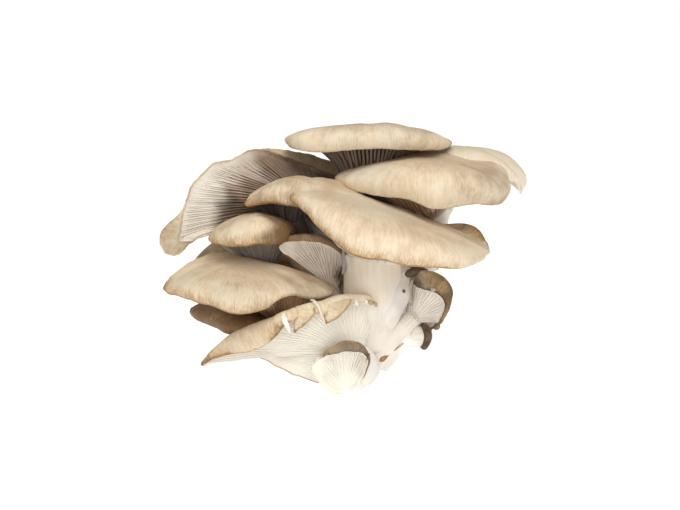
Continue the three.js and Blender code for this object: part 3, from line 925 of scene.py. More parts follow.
@dataclass(frozen=True)
class Mushroom:
    """One mushroom: cap, stem and gills.

    The rim's points are across, depth, up, overhang, rise and, where it differs, hollow.
    The stem's points are across, depth, up and radius.
    """

    name: str
    rim: tuple[Point, ...]
    crown: Point
    stem: tuple[Point, ...]
    flare: float
    hollow: float
    slant: Point = (0.0, 0.0)
    skin: Skin = Skin.TAN
    gill_spacing: float = 1.5
    gill_depth: float = 1.9
    gill_width: float = 0.42
    gill_recess: float = 0.9
    run_down: float = 7.0
    ragged: float = 0.3
    bumpy: float = 0.35
    band: float = 0.5
    patches: tuple[Patch, ...] = ()
    seed: int = 1

    def _cap(self) -> Cap:
        """Works out the cap's surfaces."""
        given = np.array([(*p, self.hollow) if len(p) < 6 else p for p in self.rim], dtype=float)
        rim = even_loop(given, RIM_SPACING)
        edge, crown = rim[:, :3].copy(), np.array(self.crown, dtype=float)
        overhang, rise, hollow = (rim[:, k : k + 1] for k in (3, 4, 5))
        centre = edge.mean(axis=0)
        normal = unit(np.cross(edge, np.roll(edge, -1, axis=0)).sum(axis=0))
        normal = normal if normal @ (crown - centre) > 0 else -normal
        along = np.roll(edge, -1, axis=0) - np.roll(edge, 1, axis=0)
        out = unit(np.cross(along, normal))
        out = out if dot(out, edge - centre).sum() > 0 else -out
        step = np.linalg.norm(np.roll(edge, -1, axis=0) - edge, axis=1)
        perimeter = float(step.sum())
        turn = np.concatenate([[0], np.cumsum(step)[:-1]]) / perimeter * 2 * math.pi

        uneven = ripples(edge, RAGGED_OUT, self.seed)
        lifted = ripples(edge, RAGGED_UP, self.seed + 2)
        edge += self.ragged * (uneven[:, None] * out + RAGGED_UP_SHARE * lifted[:, None] * normal)

        reach = (edge - crown) * SKIN_REACH
        skin_controls = [
            np.broadcast_to(crown, edge.shape),
            crown + reach - normal * dot(reach, normal) * CROWN_ROUND,
            edge + normal * rise * SHOULDER_HEIGHT,
            edge + normal * rise * SHOULDER_DROP + out * overhang * SHOULDER_OVERHANG,
            edge,
        ]
        skin_steps = 1 - (1 - np.linspace(0, 1, SKIN_ROWS + 1)[1:]) ** SKIN_CROWDING
        skin = bezier(skin_controls, skin_steps)

        root, radius = np.array(self.stem[0][:3], dtype=float), self.stem[0][3]
        side = edge - root
        side = unit(side - normal * dot(side, normal))
        slant = np.array([*self.slant, 0.0])
        drop = dot(side, slant) - np.linalg.norm(slant)
        ring = root + side * radius * RING_SHARE + normal * drop
        flare = root + side * radius * FLARE_WIDTH + normal * (self.flare + drop)
        hollow_rise = rise * np.where(rise > 0, HOLLOW_RISE, TURNED_UP)
        gill_controls = [
            edge,
            edge + normal * hollow_rise - out * EDGE_INSET,
            (edge + flare) / 2 + normal * hollow * 2,
            flare,
            ring,
        ]
        gill_steps = np.linspace(0, 1, GILL_ROWS + 1)[1:] ** GILL_CROWDING
        gills = bezier(gill_controls, gill_steps)
        sunk = smooth_step(gill_steps, *SINKING) * (1 - smooth_step(gill_steps, *RISING))
        room = self.gill_recess * np.clip(rise / FULL_RISE, 0.0, 1.0)
        gills = gills + normal * room * sunk[:, None, None]

        for grid in (skin, gills):
            grid += normal * self.bumpy * ripples(grid, CAP_BUMPS, self.seed + 4)[..., None]
        return Cap(edge, rise[:, 0], skin, gills, normal, side, turn, perimeter)

    def _grain(self, grid: Array, turn: Array, perimeter: float, start: Array) -> Array:
        """Gives each point its place on the cap's own grain: round the rim, and away from it.

        Args:
            grid: Rings of points going away from the rim.
            turn: Angle of each point of the rim.
            perimeter: Length of the rim.
            start: The rim's own points.

        Returns:
            Vectors in metres, whose last value is the distance from the rim.
        """
        steps = np.linalg.norm(np.diff(np.concatenate([start[None], grid]), axis=0), axis=-1)
        away = np.cumsum(steps, axis=0)
        radius = perimeter / (2 * math.pi)
        round_x = np.broadcast_to(np.cos(turn) * radius, away.shape)
        round_y = np.broadcast_to(np.sin(turn) * radius, away.shape)
        return np.stack([round_x, round_y, away], axis=-1) * MM

    def flesh(self, finishes: Finishes, cap: Cap) -> bpy.types.Object:
        """Makes the cap and stem.

        Args:
            finishes: The cluster's materials.
            cap: The cap's surfaces.

        Returns:
            The piece, whose faces take the skin, the gill flesh and the stem's flesh.
        """
        shell = Shell()
        crown = cap.skin[0].mean(axis=0)
        root = np.array(self.stem[0][:3]) - cap.normal * PLUG_DEPTH * self.stem[0][3]
        skin_grain = self._grain(cap.skin[::-1], cap.turn, cap.perimeter, cap.edge)[::-1]
        gill_grain = self._grain(cap.gills, cap.turn, cap.perimeter, cap.edge)
        rings = np.concatenate([cap.skin, cap.gills])
        points = with_poles(crown, rings, root)
        grain = with_poles(skin_grain[0, 0], np.concatenate([skin_grain, gill_grain]), gill_grain[-1, 0])
        reach = np.linalg.norm(cap.skin - crown, axis=-1) / np.linalg.norm(cap.edge - crown, axis=-1)
        spread = np.concatenate([[0.0], reach.ravel(), np.ones(len(points) - 1 - reach.size)])
        last_skin = len(cap.skin) - 1 + int(np.sum(gill_grain[..., 2].mean(axis=1) < self.band * MM))
        marks = {"grain": grain, "spread": spread, **tone_marks(points, self.patches)}
        shell.add(crown, rings, root, marks, lambda ring: 0 if ring <= last_skin else 1)

        add_stem(shell, self.stem, STEM_DOME, self.patches, self.seed + 8, 2)
        return shell.piece(self.name + "_flesh", (finishes.skins[self.skin], finishes.gills, finishes.stem))

    def _guide(self, cap: Cap) -> tuple[Array, Array]:
        """Works out the surface that gills stand on: the underside, then the stem where they run down it.

        Args:
            cap: The cap's surfaces.

        Returns:
            Rings of points, and the way out at each.
        """
        path = open_line(np.array(self.stem, dtype=float), STEM_SAMPLES)
        length = run_length(path)
        rows = [cap.edge[None], cap.gills]
        for far in np.arange(1.0, self.run_down + 0.01, 1.0):
            place = np.array([np.interp(far, length, path[:, k]) for k in range(4)])
            ahead = np.array([np.interp(far + 1, length, path[:, k]) for k in range(3)])
            forward = unit(ahead - place[:3])
            level = unit(cap.side - forward * dot(cap.side, forward))
            share = min(1.0, far / self.stem[0][3])
            spoke = unit(cap.side * (1 - share) + level * share)
            rows.append((place[:3] + spoke * place[3])[None])
        guide = np.concatenate(rows)
        joint = len(cap.gills) - JOINT_RINGS
        for _ in range(JOINT_PASSES):
            guide[joint:-1] = (guide[joint - 1 : -2] + 2 * guide[joint:-1] + guide[joint + 1 :]) / 4
        outward = grid_normals(guide)
        middle = outward[JOINT_RINGS:joint]
        return guide, outward if float((middle @ cap.normal).mean()) < 0 else -outward

    def gill_lines(self, cap: Cap) -> bpy.types.Mesh:
        """Lays a line for each gill, from just inside the rim towards or down the stem.

        Args:
            cap: The cap's surfaces.

        Returns:
            A mesh of lines that carry blade_out, blade_height and the marks of the flesh.
        """
        guide, outward = self._guide(cap)
        source = np.random.default_rng(self.seed + 30)
        count = 4 * max(3, round(cap.perimeter / self.gill_spacing / 4))
        around = guide.shape[1]
        points, outs, heights, grains, edges = [], [], [], [], []
        start = 0
        for k in range(count):
            place = (k + source.uniform(-GILL_STRAY, GILL_STRAY)) / count * around
            left = int(math.floor(place)) % around
            share = place - math.floor(place)
            right = (left + 1) % around
            line = guide[:, left] * (1 - share) + guide[:, right] * share
            way = unit(outward[:, left] * (1 - share) + outward[:, right] * share)
            run = run_length(line)
            ring_at = run[len(cap.gills)]
            inset = self.band + source.uniform(0, 0.5)
            # One gill in four runs the whole way, one most of the way and two a short way.
            if k % 4 == 0:
                end, tall, steps = run[-1] - source.uniform(0, 0.35) * self.run_down, 1.0, 22
            elif k % 4 == 2:
                end, tall, steps = ring_at * source.uniform(0.62, 0.86), 0.95, 16
            else:
                end, tall, steps = ring_at * source.uniform(0.28, 0.5), 0.72, 10
            if end < inset + SHORTEST_GILL:
                continue
            at = np.linspace(inset, end, steps)
            part = np.linspace(0, 1, steps)
            row = np.stack([np.interp(at, run, line[:, axis]) for axis in range(3)], axis=1)
            face = unit(np.stack([np.interp(at, run, way[:, axis]) for axis in range(3)], axis=1))
            rise = smooth_step(at, inset + BLADE_START[0], inset + BLADE_START[1])
            fall = 1 - smooth_step(part, *BLADE_FALL)
            worn = 1 - WORN * smooth_step(at / max(ring_at, 1.0), *WORN_FROM)
            room = float(np.clip(cap.rise[left] / THIN_MARGIN, THIN_SHARE, 1.0))
            deep = 1 - (1 - room) * (1 - smooth_step(at, *THIN_REACH))
            high = self.gill_depth * tall * worn * deep * np.maximum(rise * fall, LOWEST_BLADE)
            turn = place / around * 2 * math.pi
            radius = cap.perimeter / (2 * math.pi)
            round_x, round_y = math.cos(turn) * radius, math.sin(turn) * radius
            grain = np.stack([np.full(steps, round_x), np.full(steps, round_y), at], axis=1)
            points.append(row)
            outs.append(face)
            heights.append(high)
            grains.append(grain * MM)
            edges += [(start + i, start + i + 1) for i in range(steps - 1)]
            start += steps
        place = np.concatenate(points)
        lines = bpy.data.meshes.new(self.name + "_lines")
        lines.from_pydata(to_frame(place).tolist(), edges, [])
        zero = to_frame(np.zeros((1, 3)))
        put_attribute(lines, "blade_out", unit(to_frame(np.concatenate(outs)) - zero))
        put_attribute(lines, "blade_height", np.concatenate(heights) * MM)
        put_attribute(lines, "grain", np.concatenate(grains))
        for name, values in tone_marks(place, self.patches).items():
            put_attribute(lines, name, values)
        return lines

    def build(self, finishes: Finishes, blades: Blades) -> None:
        """Makes the mushroom's pieces and fixes them to the frame."""
        cap = self._cap()
        flesh = self.flesh(finishes, cap)
        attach(flesh, "root")
        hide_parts(self.name)
        lines = self.gill_lines(cap)
        gills = blades.grow(lines, self.name + "_gills", finishes.gills, self.gill_width, self.seed)
        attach(gills, "root")
        counts = len(flesh.data.polygons), len(gills.data.polygons)
        log.info("%s: %d faces of flesh, %d of gills", self.name, *counts)


# Shade patches are painted shade in hollows, folds and under the caps. Many brown and umber patches darken
# caps and gills as painted shade. Many pale patches lighten flesh as painted light.
MUSHROOMS = (
    Mushroom(
        name="bottom_small_mushroom", skin=Skin.DARK, seed=11,
        rim=(
            (-8, -34, 20.4, 1.5, 3), (-3, -39, 22, 2.5, 6), (4.5, -41, 23.4, 2.5, 7),
            (9.5, -38, 23, 2, 5.5), (13, -32, 18.5, 1.5, 2), (11, -27, 12, 1, 2), (8, -22, 6, 1, 2),
            (0, -21, 1.5, 1, 2), (-7.5, -23, 4, 1, 2), (-12, -26, 9, 1, 2), (-14, -29, 15.5, 1, 2),
        ),
        crown=(0, -24, 19), stem=((1.5, -25, 3.5, 2.5), (6, -15, 8, 6), (7, -4, 12, 9)),
        flare=1.5, hollow=0.5, gill_spacing=1.2, gill_depth=0.8, gill_recess=0.3, gill_width=0.7,
        run_down=0.0,
        patches=tones(
            # Pale patches: partly the gills' own pale tone, partly painted light on the brightly lit gills
            # and lower rim.
            pale=(
                (-2, -22, 2, 17, 1), (-14, -28, 11, 9, 1), (-13, -32, 19, 6, 0.8), (0, -38, 24, 12, 0.14),
            ),
            brown=((7, -37, 24, 9, 0.2), (-7, -33, 20, 5, 0.5)),
            ochre=((3, -38, 24, 12, 0.6),),
        ),
    ),
    Mushroom(
        name="centre_small_mushroom", seed=22,
        rim=(
            (-31.5, -16, 73.5, 1.5, 2), (-28, -20, 76, 2, 3), (-20.5, -23, 77, 2.5, 4),
            (-11, -24, 76, 2.5, 4), (-3.5, -22, 73, 2, 3), (1, -18, 68, 1.5, 2), (0, -11, 61, 1, 2),
            (-1, -6, 54, 1, 2), (-4, -4, 49, 1, 2), (-8, -6, 54, 3, 2), (-14, -9, 61, 8, 3),
            (-19, -11, 66, 9, 3), (-24, -13, 69, 5, 2), (-29, -14, 70.5, 1.5, 2),
        ),
        crown=(-14, -4, 71), stem=((-6, -11, 54, 3.5), (-2, -4, 42, 6), (2, 4, 28, 8)),
        flare=2, hollow=0.5, gill_spacing=1.3, gill_depth=1.0, gill_recess=0.3, gill_width=0.6,
        patches=tones(
            brown=((-14, -22, 78, 30, 0.85), (0, -16, 66, 6, 0.5)),
            ochre=((-14, -22, 76, 26, 0.9),),
            # Painted shade in the gap by the stem.
            shade=((0.5, -13, 60, 5, 0.7),),
            umber=((-8, -14, 64, 22, 0.3), (-2, -14, 58, 11, 0.45)),
            # Pale patch: partly painted light on the gills.
            pale=((-13, -12, 67, 16, 0.55),),
        ),
    ),
    Mushroom(
        name="right_small_mushroom", skin=Skin.DARK, seed=33,
        rim=(
            (33.5, -14, 56, 6, 4), (37.5, -19, 53.8, 9, 5), (43, -21, 52.5, 10, 6), (48, -20, 50.3, 7, 6),
            (50.8, -16, 45.8, 3, 5), (49.9, -13, 41.8, 2.5, 4), (47, -9, 36, 2, 3),
            (40, -4, 32.6, 1.5, 2.5), (34.5, -3, 37, 1, 2), (32.5, -6, 45, 1, 2), (31.7, -10, 51, 2, 2),
        ),
        crown=(43, 0, 49), stem=((35.5, -10, 39, 4), (26, -9, 30, 6.5), (18, -6, 22, 8), (12, 0, 18, 9)),
        flare=2, hollow=0.5, gill_spacing=1.2, gill_depth=0.9, gill_recess=0.3, gill_width=0.6,
        patches=tones(
            pale=((40, -18, 58, 7, 0.16),),
            brown=((46, -14, 60, 9, 0.4), (37, -19, 57, 5, 0.6), (51, -15, 49, 9, 0.3)),
            ochre=((46, -18, 52, 12, 0.8),),
        ),
    ),
    Mushroom(
        name="right_bud", skin=Skin.DARK, seed=44,
        rim=(
            (39, -10, 35.3, 1.5, 3), (40.3, -14, 32, 1.5, 3), (40.3, -14, 27.5, 1.5, 3),
            (38.6, -10, 24.3, 1.5, 3), (40, -5, 27, 1.5, 3), (40.5, -5, 32.5, 1.5, 3),
        ),
        crown=(44.5, -9, 29), stem=((35, -9.5, 29.5, 4), (27, -7, 25, 5), (18, -3, 18, 7)),
        flare=1, hollow=0, gill_spacing=1.2, gill_depth=0.5, gill_recess=0.1, run_down=0.0,
        patches=tones(brown=((41, -12, 30, 9, 0.7),), pale=((30, -12, 27, 9, 0.7),)),
    ),
    Mushroom(
        name="front_mushroom", seed=55,
        rim=(
            (-68, -30, 16, 1, 2), (-59.5, -38, 20.6, 2.5, 7.5), (-48, -44, 22.8, 4, 13),
            (-38, -47, 26.4, 4, 13), (-31, -47, 32, 3, 10), (-26.5, -47, 37, 2.5, 7.5),
            (-15.5, -46, 41, 2.5, 7), (-8, -44, 41, 3, 8), (4, -39, 46, 2.5, 7), (13.5, -31, 47.3, 2, 5.5),
            (18, -24, 45, 1.2, 3), (17, -14, 32, 1.5, 2), (12, -4, 18, 1.5, 2), (0, -4, 8.5, 1, 2),
            (-11, -8, 7.2, 1, 1.5), (-21, -12, 9.8, 1, 1.5), (-31.5, -18, 15, 1, 1.5),
            (-42, -24, 20, 1, 1.5), (-54, -28, 20, 1, 1.5),
        ),
        crown=(-18, -16, 33), stem=((4, -25, 23, 7), (8, -15, 16, 10), (8, -2, 16, 12)),
        flare=4, hollow=1, gill_depth=0.7, gill_recess=0.4, gill_width=0.7, run_down=0.0, band=1.1,
        patches=tones(
            brown=(
                (-68, -31, 17.5, 10, 0.6), (-47, -45, 27, 18, 0.13), (-30.5, -47.5, 33.5, 4, 0.6),
                # These two darken the underside of the lower lip as painted shade.
                (-26, -15, 12.5, 9, 0.6), (-15, -10, 8.5, 8, 0.6),
            ),
            ochre=((-62, -36, 19, 13, 0.8), (-31, -47, 33, 8, 0.9), (-4, -42, 42, 24, 0.7)),
            # Pale patch: partly the gills' own pale tone, partly painted light.
            pale=((-4, -24, 28, 34, 0.5),),
        ),
    ),
    Mushroom(
        name="centre_mushroom", seed=66,
        rim=(
            (-25.5, -20, 97.5, 1.6, 4), (-18, -31, 91, 3, 9), (-7, -41, 79.5, 4, 14), (7, -46, 69.5, 4, 16),
            (21, -48, 67, 4, 16, 4), (35, -47, 64.5, 4, 14, 6), (50, -43, 63.5, 4, 11, 8),
            (62, -34, 64.5, 4, 8, 8), (70, -20, 69, 2.5, 4, 7), (73, -6, 73, 1, 0.5, 3),
            (72, 2, 77.5, -0.8, -2.5, -6), (68, 8, 83, -1.8, -4, -9), (61, 12, 86, -1.8, -4.5, -9),
            (51, 12.5, 86, -1.2, -3.5, -8), (38, 16, 87, 0, -1.5, -4), (22, 22, 90, 2, 3),
            (4, 22, 96, 3, 8), (-12, 14, 101, 3, 8), (-24, -6, 100.5, 2, 7),
        ),
        crown=(10, -6, 99.5), stem=((14.5, -18, 71, 15), (15, -15, 52, 14), (12, -4, 28, 14)),
        flare=2, hollow=3, ragged=0.22, run_down=0.0, band=2.0,
        patches=tones(
            ochre=(
                (-22, -26, 93, 14, 1), (-12, -39, 83, 15, 1), (8, -46, 70, 18, 1), (36, -46, 65, 26, 0.8),
                (66, 6, 82, 9, 1), (10, -30, 68, 26, 0.5),
            ),
            # Painted light: the pale patch lightens the top where the cap above shades it.
            pale=((14, -22, 94.5, 24, 0.35),),
            brown=(
                (-9, -41, 80, 3.5, 0.3), (-25, -20, 98, 4, 0.5), (57, 14, 84, 10, 0.55),
                # These two darken the right end, partly its own brown and partly painted shade.
                (68, -6, 73, 14, 0.3), (75, -4, 71, 11, 0.3),
            ),
            # Painted shade on the gills and stem under the cap.
            shade=((-4, -14, 84, 24, 0.6), (14, -26, 60, 16, 0.1)),
            umber=((14, -36, 68, 18, 0.2),),
        ),
    ),
    Mushroom(
        name="top_mushroom", seed=77,
        rim=(
            (-28.5, 30, 127, 1.5, 4), (-22, 12, 122.5, 3, 10), (-11, 6, 121.3, 3.5, 12),
            (1.5, 2, 121.8, 3.5, 12), (15, 0, 123, 3.5, 11), (29, 2, 123, 3.5, 11), (42, 8, 123, 3.5, 9),
            (51, 18, 123.5, 2.5, 7), (56, 32, 126.5, 1, 2.5), (48, 50, 128, 2.5, 5), (28, 64, 128, 3, 6),
            (2, 66, 128, 3, 6), (-18, 52, 128, 2.5, 5),
        ),
        crown=(16, 32, 136), stem=((14, 30, 104, 10), (16, 22, 66, 9), (10, 12, 28, 9)),
        flare=13, hollow=7, ragged=0.2, gill_depth=2.6,
        patches=tones(
            brown=((53, 30, 125, 7, 0.5), (19, 6, 136, 30, 0.2), (44.5, 11, 132.5, 1.1, 0.9)),
            # Pale patches: partly painted light on the cap's lower front.
            pale=((2, -1, 123, 12, 0.3), (22, -2, 124, 12, 0.3)),
            # The shade patch is painted shade on the gills under the cap. The umber patches are partly the
            # gills' own brown and partly painted shade.
            shade=((8, 16, 114, 42, 0.68),),
            umber=((36, 16, 114, 30, 0.8), (2, 16, 112, 26, 0.7)),
            ochre=((-26, 22, 126, 10, 0.6),),
        ),
    ),
    Mushroom(
        name="right_mushroom", seed=88,
        rim=(
            (-3, 16, 108, 1.5, 2.5), (3.5, 2, 103, 2.5, 7), (12, -5, 100.4, 3, 10),
            (22, -10, 98.4, 3.5, 13), (33.5, -14, 96.7, 3.5, 15), (44.5, -15, 93.2, 4, 17, 0),
            (56, -14, 93.7, 4, 17, 8), (66, -10, 94.8, 4, 16, 9), (76, -2, 94.5, 4, 13, 9),
            (81.5, 8, 97, 3, 12, 9), (83, 22, 102, 3, 10, 8), (79, 36, 109, 3.5, 10, 7),
            (60, 48, 113, 3, 9, 4), (36, 50, 112.5, 3, 8, 0), (12, 42, 112, 2.5, 5),
        ),
        crown=(40, 20, 121),
        stem=((48, 17, 94, 5.5), (47.5, 20, 84, 6), (45, 23, 72, 6.5), (34, 20, 54, 8), (20, 10, 34, 9)),
        flare=5, hollow=-6, slant=(4, 0), ragged=0.25, run_down=0.0, gill_depth=1.1,
        patches=tones(
            # Brown patches darken the cap's right part, partly as painted shade.
            brown=((82, 8, 102, 17, 0.25), (68, -13, 104.6, 20, 0.24)),
            ochre=((78, 0, 96, 14, 0.5),),
            # Pale patches are painted light, in part: on the cap's left, which the cap above shades, on its
            # front rim and on the stem under the cap.
            pale=((11, -6, 110, 17, 0.4), (48, -17, 94, 14, 0.25), (50, 18, 88, 11, 1)),
            # The shade patch is painted shade under the cap. The umber patch is partly the gills' own brown
            # and partly painted shade.
            shade=((4, 5, 103, 24, 0.85),),
            umber=((24, 5, 98, 32, 1),),
        ),
    ),
    Mushroom(
        name="right_back_mushroom", skin=Skin.PALE, seed=99,
        rim=(
            (92, 42, 101, 1, 3, 9), (89, 33, 107, 1.5, 5, 9), (83, 28, 108.3, 2, 8, 7),
            (68, 24, 110.5, 3, 10), (52, 28, 114, 3, 8), (38, 42, 116, 2.5, 4), (36, 60, 118, 2.5, 4),
            (50, 76, 119, 3, 6), (70, 80, 117, 3, 8, 5), (87, 68, 112.5, 3, 9, 8), (94, 54, 108, 2.5, 6, 9),
        ),
        crown=(62, 54, 127.5), stem=((50, 44, 96, 8), (34, 28, 62, 8.5), (14, 16, 28, 9)),
        flare=7, hollow=3, gill_depth=0.3, gill_recess=1.2,
    ),
    Mushroom(
        name="left_mushroom", seed=110,
        rim=(
            (-75.5, -11, 76.6, 3, 4), (-80.5, -13, 77, 11.5, 6), (-79.5, -14, 83, 8, 5),
            (-78.7, -12, 89.5, 2, 3), (-76.5, -8, 98, 1, 1.5), (-74.5, -5, 104, 1, 1),
            (-70, -2, 109.5, 1, 1), (-63, 2, 116, 1, 1), (-55, 5, 117.5, 1, 1), (-48.5, 9, 121.5, 1, 1),
            (-42, 13, 123.2, 1, 1.5), (-34, 20, 121.5, 3, 3.5), (-24, 28, 118.5, 5.5, 5),
            (-12, 36, 114, 7.5, 6), (-1, 42, 109, 7.5, 6), (5, 46, 98, 4, 5), (-6, 44, 86, 3, 5),
            (-24, 36, 85, 2, 4), (-42, 26, 90, 2, 4), (-54, 17, 91.5, 1.5, 3), (-62, 8, 86, 1, 2),
            (-70, -2, 79.6, 1.5, 2),
        ),
        crown=(-36, 40, 104), stem=((-14, 20, 96, 6), (-10, 12, 76, 8), (0, 8, 46, 9), (4, 8, 26, 10)),
        flare=6, hollow=2, band=1.1, gill_spacing=1.35, gill_depth=1.25, gill_width=0.55, gill_recess=0.5,
        patches=tones(
            # Brown patches are partly the cap's own brown and partly painted shade on its back and lobe.
            brown=((-10, 36, 118, 26, 0.55), (-38, 16, 123, 14, 0.3), (-82, -20, 80, 16, 0.42)),
            # Umber patches are partly the gills' own brown and partly painted shade.
            umber=((-42, 9, 90, 24, 0.85), (-12, 30, 117, 44, 0.8), (-40, 10, 102, 26, 0.3)),
            pale=(
                (-77, -13, 79, 9, 0.35), (-76, -9, 95, 12, 0.25), (-70, -2, 110, 12, 0.3),
                (-57, 4, 118, 12, 0.3),
            ),
            # Painted shade on the gills under the caps in front.
            shade=((0, 34, 110, 18, 0.4), (-26, 20, 93, 30, 0.45), (-54, 8, 86, 17, 0.7)),
            ochre=((-72, -4, 108, 30, 0.3),),
        ),
    ),
    Mushroom(
        name="left_inner_mushroom", seed=121,
        rim=(
            (-48, -5, 94.6, 1, 2), (-43, -12, 94.8, 1.5, 6), (-37, -17, 95, 2.5, 9),
            (-29, -19, 94.5, 2.5, 10), (-20, -16, 93.5, 2.5, 9), (-10, -6, 95, 2, 7), (-6, 8, 98, 2, 5),
            (-16, 20, 101, 2, 5), (-32, 19, 101.5, 2, 4), (-44, 8, 99, 1.5, 3),
        ),
        crown=(-21, 2, 109.5), stem=((-26, -1, 87, 7), (-17, 2, 64, 7.5), (-4, 6, 38, 8), (2, 8, 24, 9)),
        flare=3, hollow=2, run_down=0.0, gill_depth=1.0,
        patches=tones(
            ochre=((-47, -8, 95, 9, 1), (-36, -17, 94.5, 14, 1), (-20, -16, 94, 10, 0.6)),
            brown=((-32, -20, 102, 18, 0.22),),
            # Painted shade on the gills under the cap.
            shade=((-30, -5, 88, 30, 0.95),),
        ),
    ),
    Mushroom(
        name="left_upper_mushroom", seed=132,
        rim=(
            (-65, -13, 76.3, 1.5, 3), (-59, -24, 74.4, 2.5, 7), (-51, -30, 74, 3, 11),
            (-41, -31, 74.8, 3, 12), (-32, -27, 74.6, 2.5, 10), (-26.5, -18, 77.4, 2, 7),
            (-24, -2, 80, 2, 5), (-32, 12, 82, 2, 5), (-46, 16, 83, 2, 5), (-60, 4, 80, 2, 5),
        ),
        crown=(-42, -4, 91.5), stem=((-40, 1, 64, 6.5), (-22, 3, 46, 7.5), (-2, 4, 26, 9)),
        flare=5, hollow=0, run_down=0.0, gill_depth=0.6,
        patches=tones(
            ochre=((-64, -16, 76, 13, 1), (-48, -29, 74, 18, 0.8)),
            # The first brown patch is partly the cap's own brown and partly painted shade on its top right.
            brown=((-22, -18, 82, 25, 1), (-52, -28, 80, 15, 0.1)),
            # Painted shade in the hollow under the cap.
            shade=((-40, -6, 66, 36, 0.76),),
        ),
    ),
    Mushroom(
        name="left_hidden_mushroom", seed=143,
        rim=(
            (-75, 22, 64, 1, 3), (-69, 12, 62, 1.5, 6), (-58, 9, 61, 2, 6), (-48, 14, 62, 1.5, 5),
            (-44, 28, 64, 1.5, 4), (-54, 40, 66, 2, 4), (-69, 35, 66, 1.5, 3),
        ),
        crown=(-61, 24, 79), stem=((-62, 24, 58, 5), (-42, 22, 44, 6.5), (-12, 20, 26, 8)),
        flare=5, hollow=1,
        patches=tones(
            ochre=((-68, 10, 66, 20, 1),),
            # Brown patches: partly the cap's own brown, partly painted shade where it lies under the caps
            # above.
            brown=((-74, 18, 67, 14, 0.7), (-46, 16, 66, 16, 0.8), (-62, 14, 66, 30, 0.45)),
        ),
    ),
    Mushroom(
        name="left_large_mushroom", seed=154,
        rim=(
            (-87.5, -20, 53, 1, 2), (-83.5, -27, 50.7, 1.5, 4), (-75, -36, 48.5, 2.5, 7),
            (-64, -45, 45.5, 3, 9), (-50, -50, 41.3, 3.5, 10), (-38.5, -48, 43, 3, 9),
            (-31, -43, 47.8, 2.5, 6), (-24, -36, 50.8, 2, 4), (-15, -29, 48.5, 2, 4.5),
            (-6, -23, 50.5, 1.5, 3), (-5.5, -11, 54, 1.5, 2), (-20, -3, 58, 1.5, 2), (-34, 0, 61, 2, 2.5),
            (-48, 4, 66, 2, 4), (-62, 5, 67, 2, 4), (-75, -2, 63, 2, 4), (-83, -10, 58.5, 1.5, 3),
        ),
        crown=(-51, -14, 69.3), stem=((-28, -18, 38, 8), (-14, -10, 28, 9), (2, 0, 18, 11)),
        flare=6, hollow=2, gill_depth=0.8,
        patches=tones(
            ochre=(
                (-86, -22, 52, 13, 1), (-75, -36, 49, 14, 1), (-60, -46, 45, 18, 0.9),
                (-40, -48, 44, 14, 0.7),
            ),
            brown=((-87, -21, 52.5, 4, 0.4), (-50, -52, 44, 20, 0.18), (-14, -24, 56, 18, 0.3)),
            # Umber: partly the gills' own brown, partly painted shade under the cap.
            umber=((-24, -28, 45, 34, 1),),
        ),
    ),
    Mushroom(
        name="left_shaded_mushroom", seed=165,
        rim=(
            (-74.5, -14, 40, 1.5, 4), (-70, -22, 36.8, 2, 6), (-63, -29, 34.8, 2.5, 7),
            (-54, -33, 31, 3, 7), (-42, -32, 29.5, 3, 7), (-32, -24, 30, 2.5, 6), (-28, -10, 33, 2, 5),
            (-40, 4, 38, 2, 4), (-56, 8, 42, 2, 4), (-70, -2, 43, 2, 4),
        ),
        crown=(-50, -12, 45), stem=((-34, -12, 24, 7), (-18, -4, 19, 8), (0, 4, 14, 9)),
        flare=5, hollow=2,
        # The brown over the whole cap is partly its own brown and partly painted shade.
        patches=tones(brown=((-60, -24, 36, 90, 1),), umber=((-40, -20, 30, 40, 0.7),)),
    ),
    Mushroom(
        name="back_left_mushroom", seed=176,
        rim=(
            (-60, 50, 57, 2, 6), (-54, 36, 58, 2, 6), (-40, 31, 60, 2, 6), (-22, 36, 62, 2, 6),
            (-14, 54, 61, 3, 8), (-24, 76, 57, 3, 9), (-44, 84, 54, 3, 9), (-57, 72, 54, 3, 8),
        ),
        crown=(-36, 54, 71), stem=((-36, 47, 48, 10), (-20, 34, 34, 10.5), (-6, 24, 20, 12)),
        flare=7, hollow=3,
        # Painted shade: the brown patch darkens the cap where it shows in the hollow.
        patches=tones(brown=((-30, 33, 66, 20, 1),)),
    ),
    Mushroom(
        name="back_right_mushroom", seed=187,
        rim=(
            (-4, 66, 64, 2, 7), (6, 50, 66, 2, 6), (26, 42, 66, 2, 6), (44, 50, 64, 2, 7),
            (50, 68, 62, 3, 8), (40, 84, 59, 3, 9), (20, 90, 58, 3, 9), (2, 82, 60, 3, 8),
        ),
        crown=(24, 66, 77), stem=((21, 56, 51, 10), (12, 40, 36, 10.5), (4, 28, 22, 12)),
        flare=7, hollow=3,
    ),
    Mushroom(
        name="back_low_mushroom", seed=198,
        rim=(
            (-54, 58, 30, 2, 6), (-46, 44, 32, 2, 6), (-30, 40, 33, 2, 6), (-14, 46, 32, 2, 6),
            (-4, 60, 30, 2, 7), (-12, 76, 28, 3, 8), (-30, 83, 27, 3, 8), (-48, 74, 28, 3, 7),
        ),
        crown=(-28, 60, 43), stem=((-22, 48, 24, 7), (-12, 36, 19, 9), (-2, 26, 16, 11)),
        flare=4, hollow=2,
    ),
)


# ---- Fused base ----------------------------------------------------------------------------------


